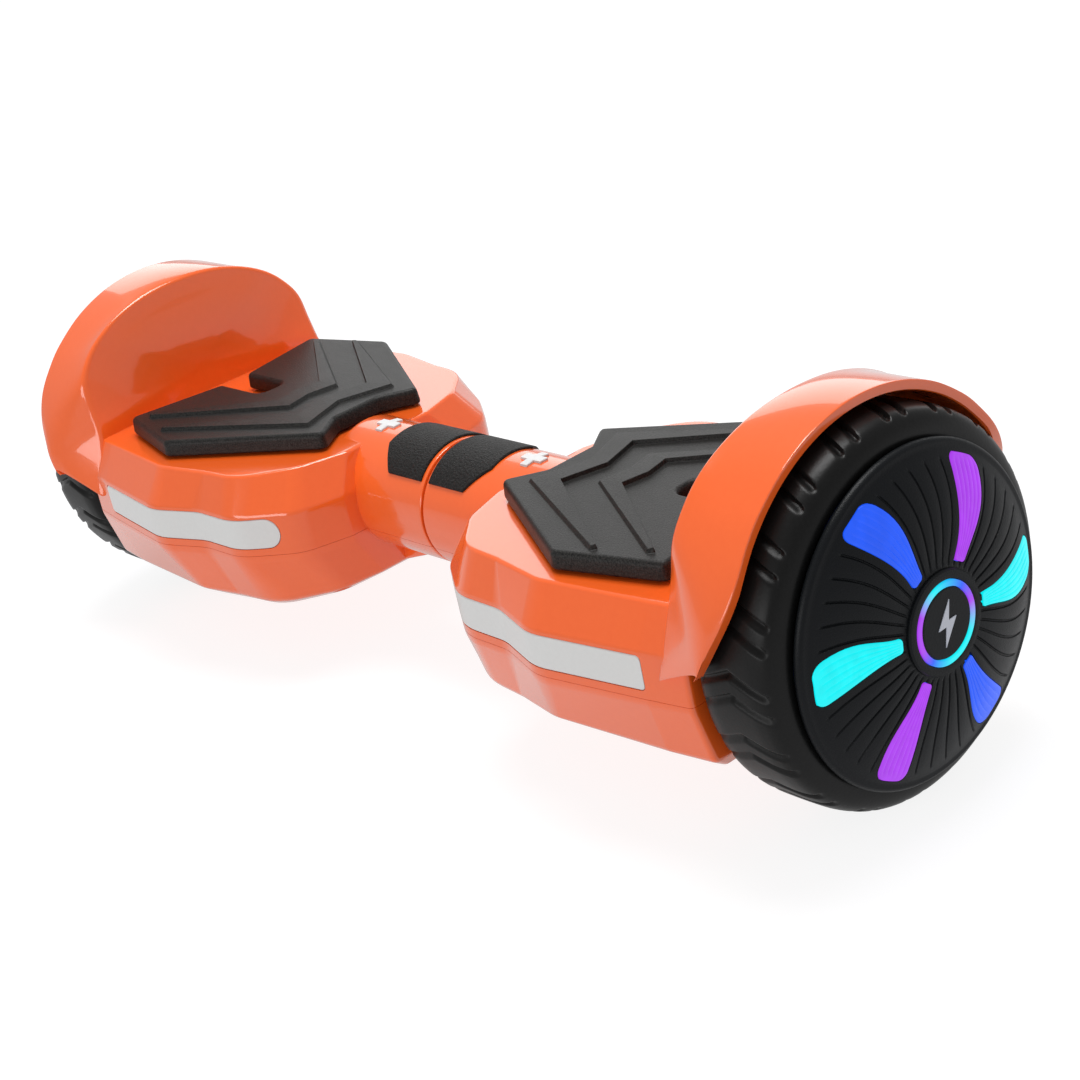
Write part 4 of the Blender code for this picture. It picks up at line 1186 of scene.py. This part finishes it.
# %% The cover
def cover_form():
    pitch = 360 / FOLDS
    rows = [20.0, 20.8, 21.6, 22.4, 23.2, 24.2, *np.linspace(25.5, 61.5, 25),
            62.3, 63.1, 64, 65.2, 66.5, 67.8]
    rings = []
    for radius in rows:
        depth = 0.75 * ramp_value(radius, 22.0, 24.5) * ramp_value(radius, 64.0, 61.5)
        crown = 0.16 * ramp_value(radius, 23.0, 34.0) * ramp_value(radius, 65.0, 58.0)
        ring = []
        for fold in range(FOLDS):
            line = FOLD_FIRST - pitch * fold + fold_turn(radius)
            edge = math.degrees(0.62 / radius)
            for aside, share in ((-1, 0), (-0.45, 0.85), (0, 1), (0.45, 0.85), (1, 0)):
                ring.append(at_wheel(dome_x(radius) - depth * share, radius, line - aside * edge))
            for share in (0.25, 0.5, 0.75):
                between = line - edge - share * (pitch - 2 * edge)
                ring.append(at_wheel(dome_x(radius) + crown * 4 * share * (1 - share), radius, between))
        rings.append(ring)
    count = len(rings[0])
    turns = [math.degrees(math.atan2(z - AXLE_Z, y)) for _, y, z in rings[-1]]
    lip = [
        (277.7, 69.0), (277.2, 70.0), (276.3, 70.7), (275.2, 71.0), (274.2, 70.7), (273.4, 69.8),
        (273.2, 60.5), (264.3, 59.5), (264.3, 56), (277.5, 56), (dome_x(55) - 2.4, 55),
        (dome_x(38) - 2.4, 38), (285.0, 22), (285.0, 20),
    ]
    for x, radius in lip:
        rings.append([at_wheel(x, radius, turns[step]) for step in range(count)])
    return loft(rings + [rings[0]], caps=False)

# %% [markdown]
# A blade is lofted from its inner tip to its outer end. The same form with a margin cuts its
# window, so blade and window always match.

# %% Blades and windows
def blade_form(index, margin, low, high):
    """One blade, or its window if it has a margin. Both of its ends have rounded corners."""
    start, stop = 24.5 - margin, 65.5 + margin
    corners = ((start, 1, 1.6), (stop, -1, 4.2))
    arcs = [end + way * size * (1 - math.cos(turn)) for end, way, size in corners
            for turn in np.linspace(0, math.pi / 2, 7)]
    rings = []
    between = np.linspace(start + 2, stop - 4.6, 13)
    for radius in np.unique(np.round(np.concatenate([arcs, between]), 4)):
        width = blade_half_width(min(radius, 64.0)) + margin
        for end, way, size in corners:
            gone = max(0.0, size - way * (radius - end))
            width -= size - math.sqrt(max(0.0, size ** 2 - gone ** 2))
        centre = BLADE_FIRST - 360 / BLADES * index + blade_turn(radius)
        ring = [at_wheel(dome_x(radius) + low, radius, centre - math.degrees(width / radius)),
                at_wheel(dome_x(radius) + low, radius, centre + math.degrees(width / radius))]
        fade = ramp_value(radius, start, start + 5) * ramp_value(radius, stop, stop - 5)
        for share in np.linspace(1, -1, 31):
            rib = 0.32 * (0.5 + 0.5 * math.cos(share * 6 * math.pi)) ** 8 if abs(share) < 0.93 else 0.0
            edge = 0.3 * (max(0.0, abs(share) - 0.86) / 0.14) ** 2
            turn = centre + math.degrees(share * width / radius)
            ring.append(at_wheel(dome_x(radius) + high - rib * fade - edge, radius, turn))
        rings.append(ring)
    return loft(rings)


for label, side in SIDES:
    windows = [(CUT, blade_form(index, 0.3, -6.0, 3.0)) for index in range(BLADES)]
    cover = carve("cover", cover_form(), windows, side)
    add_piece(f"{label}_cover_finished", cover, HUB_PLASTIC, f"{label}_wheel", f"{label}_hub_cover",
              smooth=38)

# %% [markdown]
# The blades glow evenly in three colours. They are light guides, so they are given emission
# with only a little surface colour, and a fine rib pattern in their shape breaks up the glow.
# The ring round the badge runs through the same colours, which a gradient on its angle does.

# %% Glowing materials
GLOW = {"blue": (0.010, 0.105, 1.0), "purple": (0.44, 0.045, 0.92), "cyan": (0.0, 0.95, 1.0)}
RING_STOPS = (
    (0.12, "blue"), (0.2, "purple"), (0.34, "purple"), (0.45, "cyan"), (0.62, "blue"),
    (0.72, "purple"), (0.85, "cyan"),
)


def glow_material(name, colour):
    material = bpy.data.materials.new(name)
    material.use_nodes = True
    tree = material.node_tree
    shader = tree.nodes["Principled BSDF"]
    shader.inputs["Roughness"].default_value = 0.35
    shader.inputs["Emission Strength"].default_value = 0.92
    cloud = place_node(tree, "ShaderNodeGroup", node_tree=EFFECTS["handling"], scale=60.0)
    dimmer = [0.86 * value for value in colour]
    glow = colour_blend(tree, cloud.outputs["Tint"], (dimmer, colour), (0.35, 0.65))
    tree.links.new(glow, shader.inputs["Emission Color"])
    dim = tree.nodes.new("ShaderNodeMix")
    dim.data_type = "RGBA"
    dim.inputs["Factor"].default_value = 0.9
    tree.links.new(glow, dim.inputs[6])
    dim.inputs[7].default_value = (0, 0, 0, 1)
    tree.links.new(dim.outputs[2], shader.inputs["Base Color"])
    return material


def ring_material():
    material = bpy.data.materials.new("ring_glow")
    material.use_nodes = True
    tree = material.node_tree
    shader = tree.nodes["Principled BSDF"]
    shader.inputs["Base Color"].default_value = (0.02, 0.03, 0.05, 1)
    shader.inputs["Roughness"].default_value = 0.3
    shader.inputs["Emission Strength"].default_value = 0.9
    spot = tree.nodes.new("ShaderNodeTexCoord")
    centre = tree.nodes.new("ShaderNodeMapping")
    centre.inputs["Location"].default_value = (-AXLE_Z * MM, 0, 0)
    centre.inputs["Rotation"].default_value = (0, math.radians(90), 0)
    tree.links.new(spot.outputs["Object"], centre.inputs["Vector"])
    sweep = tree.nodes.new("ShaderNodeTexGradient")
    sweep.gradient_type = "RADIAL"
    tree.links.new(centre.outputs["Vector"], sweep.inputs["Vector"])
    ramp = place_node(tree, "ShaderNodeValToRGB", fac=sweep.outputs["Fac"])
    for stop in ramp.color_ramp.elements:
        stop.color = (*GLOW["cyan"], 1)
    for position, name in RING_STOPS:
        ramp.color_ramp.elements.new(position).color = (*GLOW[name], 1)
    tree.links.new(ramp.outputs["Color"], shader.inputs["Emission Color"])
    return material


GLOW_MATERIALS = [glow_material(f"{name}_glow", GLOW[name]) for name in ("blue", "purple", "cyan")]
RING_GLOW = ring_material()

# %% [markdown]
# One moulding carries all six blades in front of a disc that spreads the light. The badge and
# the ring round it are turned from profiles, with small steps where the parts meet.

# %% Blades, badge and ring
def guide_mesh(side):
    """Six blades on one backing disc, each blade with its own material index."""
    layer = [(dome_x(radius) - 3.2, radius) for radius in (24, 32, 40, 48, 54.5)]
    layer += [(dome_x(radius) - 4.6, radius) for radius in (54.5, 48, 40, 32, 24)]
    parts = [mesh_of("layer", lathe(layer, 72), side)]
    parts += [mesh_of("blade", blade_form(index, 0.0, -3.0, 0.3), side) for index in range(BLADES)]
    work = bmesh.new()
    for number, part in enumerate(parts):
        before = len(work.faces)
        work.from_mesh(part)
        work.faces.ensure_lookup_table()
        for face in work.faces[before:]:
            face.material_index = max(0, number - 1) % 3
    mesh = bpy.data.meshes.new("guide")
    work.to_mesh(mesh)
    work.free()
    return mesh


BADGE = (
    (284.2, 0), (284.2, 14), (284.8, 20.4), (285.6, 21.6), (288.2, 21.7), (289.0, 21.1),
    (289.2, 19.0), (289.0, 17.8), (287.8, 17.7), (287.8, 14.5), (289.0, 14.4), (289.3, 13.6),
    (289.3, 0),
)
RING = ((288.0, 14.8), (288.0, 17.4), (289.2, 17.4), (289.5, 16.9), (289.5, 15.3), (289.2, 14.8))
for label, side in SIDES:
    wheel = f"{label}_wheel"
    badge, ring = (mesh_of("turned", lathe(profile, 96), side) for profile in (BADGE, RING))
    add_piece(f"{label}_blades_finished", guide_mesh(side), GLOW_MATERIALS, wheel, f"{label}_light_guide")
    add_piece(f"{label}_badge_finished", badge, HUB_PLASTIC, wheel, f"{label}_hub_badge")
    add_piece(f"{label}_ring_finished", ring, RING_GLOW, wheel, f"{label}_hub_light_ring")

# %% [markdown]
# The badge carries a plain lightning bolt, the sign for electric drive. It is a thin raised
# plate with bevelled edges.

# %% Bolt sign
BOLT = ((2.6, 9.6), (-5.6, -1.2), (-0.9, -1.2), (-2.6, -9.6), (5.6, 1.2), (0.9, 1.2))
BOLT_X = (289.0, 289.7)
BOLT_WHITE = finish(
    "bolt_white", ((0.60, 0.63, 0.72), (0.70, 0.72, 0.80)), (0.3, 0.4), "fine_grain", 900.0,
    (0.1, 0.0002))
for label, side in SIDES:
    plate = mesh_of("bolt", loft([[(x, side * y, AXLE_Z + z) for y, z in BOLT] for x in BOLT_X]), side)
    add_piece(f"{label}_bolt_sign", plate, BOLT_WHITE, f"{label}_wheel", (), bevel=0.18)

# %% [markdown]
# The shells are held by cross recessed screws, sunk in their wells under the board. A node tree
# makes one screw, sets a copy on each point of a small mesh and makes the copies real. The
# recess turns by a seeded random angle, as hand driven screws do.

# %% Shell screws
def screw_tree():
    """A headed screw with a cross recess, on every point. Sizes are in metres."""
    tree, start, end = node_tree("shell_screws", [
        ("Shank", "NodeSocketFloat", 2.3 * MM), ("Head", "NodeSocketFloat", 4.2 * MM),
        ("Length", "NodeSocketFloat", 21.8 * MM), ("Seed", "NodeSocketInt", 7),
        ("Material", "NodeSocketMaterial", None),
    ])

    def shifted(shape, **place):
        node = place_node(tree, "GeometryNodeTransform", geometry=shape.outputs["Mesh"], **place)
        return node.outputs["Geometry"]

    def cylinder(radius, depth, sides, lift):
        shape = place_node(
            tree, "GeometryNodeMeshCylinder", vertices=sides, radius=radius, depth=depth)
        up = place_node(tree, "ShaderNodeCombineXYZ", z=lift)
        return shifted(shape, translation=up.outputs[0])

    head = cylinder(start.outputs["Head"], 2.2 * MM, 24, -1.35 * MM)
    middle = math_node(tree, "MULTIPLY_ADD", start.outputs["Length"], 0.5, -1.0 * MM)
    shank = cylinder(start.outputs["Shank"], start.outputs["Length"], 16, middle)
    screw = place_node(tree, "GeometryNodeMeshBoolean", operation="UNION")
    tree.links.new(head, screw.inputs[1])
    tree.links.new(shank, screw.inputs[1])
    for turn, length in ((0.0, 4.6), (math.pi / 2, 4.4)):
        size = (length * MM, 1.0 * MM, 0.5 * length * MM)
        bar = place_node(tree, "GeometryNodeMeshCube", size=size)
        slot = shifted(bar, translation=(0, 0, -2.5 * MM), rotation=(0, 0, turn))
        cut = place_node(tree, "GeometryNodeMeshBoolean", operation="DIFFERENCE")
        tree.links.new(screw.outputs["Mesh"], cut.inputs[0])
        tree.links.new(slot, cut.inputs[1])
        screw = cut
    spin = place_node(
        tree, "FunctionNodeRandomValue", data_type="FLOAT_VECTOR", seed=start.outputs["Seed"])
    spin.inputs[0].default_value = (0, 0, 0)
    spin.inputs[1].default_value = (0, 0, math.pi)
    place = place_node(
        tree, "GeometryNodeInstanceOnPoints", points=start.outputs["Geometry"],
        instance=screw.outputs["Mesh"], rotation=spin.outputs[0])
    real_and_painted(tree, place.outputs[0], start, end)
    return tree


SCREWS = screw_tree()
for label, side in SIDES:
    spots = bpy.data.meshes.new("spots")
    spots.from_pydata([(side * x * MM, y * MM, 39.0 * MM) for x, y in SCREW_SPOTS], [], [])
    made = through_tree(spots, SCREWS, {"Seed": 7 if side > 0 else 8, "Material": INNER["steel"]})
    add_piece(f"{label}_shell_screws", made, INNER["steel"], f"{label}_half",
              [f"{label}_shell_screw_{number}" for number in (1, 2, 3)], weighted=False)

# %% [markdown]
# The power button and the lid of the charge inlet are small turned pieces with softened edges.
# The button's face is dished for a fingertip, and the lid has a moulded lip to lift it by.

# %% Button and lid
FACE_Y = BOSS_Y + 2.2
BUTTON = (
    (70, 0), (70, 8.5), (73, 8.5), (73, 6.4), (FACE_Y - 0.9, 6.4), (FACE_Y - 0.35, 6.2),
    (FACE_Y, 5.7), (FACE_Y, 5.0), (FACE_Y - 0.25, 4.2), (FACE_Y - 0.6, 2.4), (FACE_Y - 0.7, 0.8),
    (FACE_Y - 0.7, 0),
)
button = mesh_of("button", facing_y(lathe(BUTTON, 64, 0.0), BOSS_X, BOSS_Z))
add_piece("power_button_finished", button, INNER["black_plastic"], "power_push", "power_button")

LID_LOW, LID_HIGH = BOSS_Y + 0.5, BOSS_Y + 2.5
LID = (
    (LID_LOW, 0), (LID_LOW, 10.0), (LID_LOW + 0.4, 10.5), (LID_HIGH - 0.6, 10.5), (LID_HIGH, 9.8),
    (LID_HIGH, 0),
)
plug = facing_y(rod_x(BOSS_Y - 1.8, BOSS_Y + 1.0, 4.6, 0.0, 40), BOSS_X, BOSS_Z)
hinge = rod_x(BOSS_X - 4, BOSS_X + 4, 1.2, BOSS_Z + 11.5, 24, BOSS_Y + 1.5)
lip = block(BOSS_X - 3.5, BOSS_X + 3.5, BOSS_Y + 0.8, BOSS_Y + 2.2, BOSS_Z - 12.0, BOSS_Z - 9.5)
cover = facing_y(lathe(LID, 64, 0.0), BOSS_X, BOSS_Z)
lid = carve("lid", cover, [(JOIN, plug), (JOIN, hinge), (JOIN, lip)], -1)
add_piece("charge_lid_finished", lid, INNER["black_plastic"], "charge_lid", "charge_port_lid", bevel=0.2)
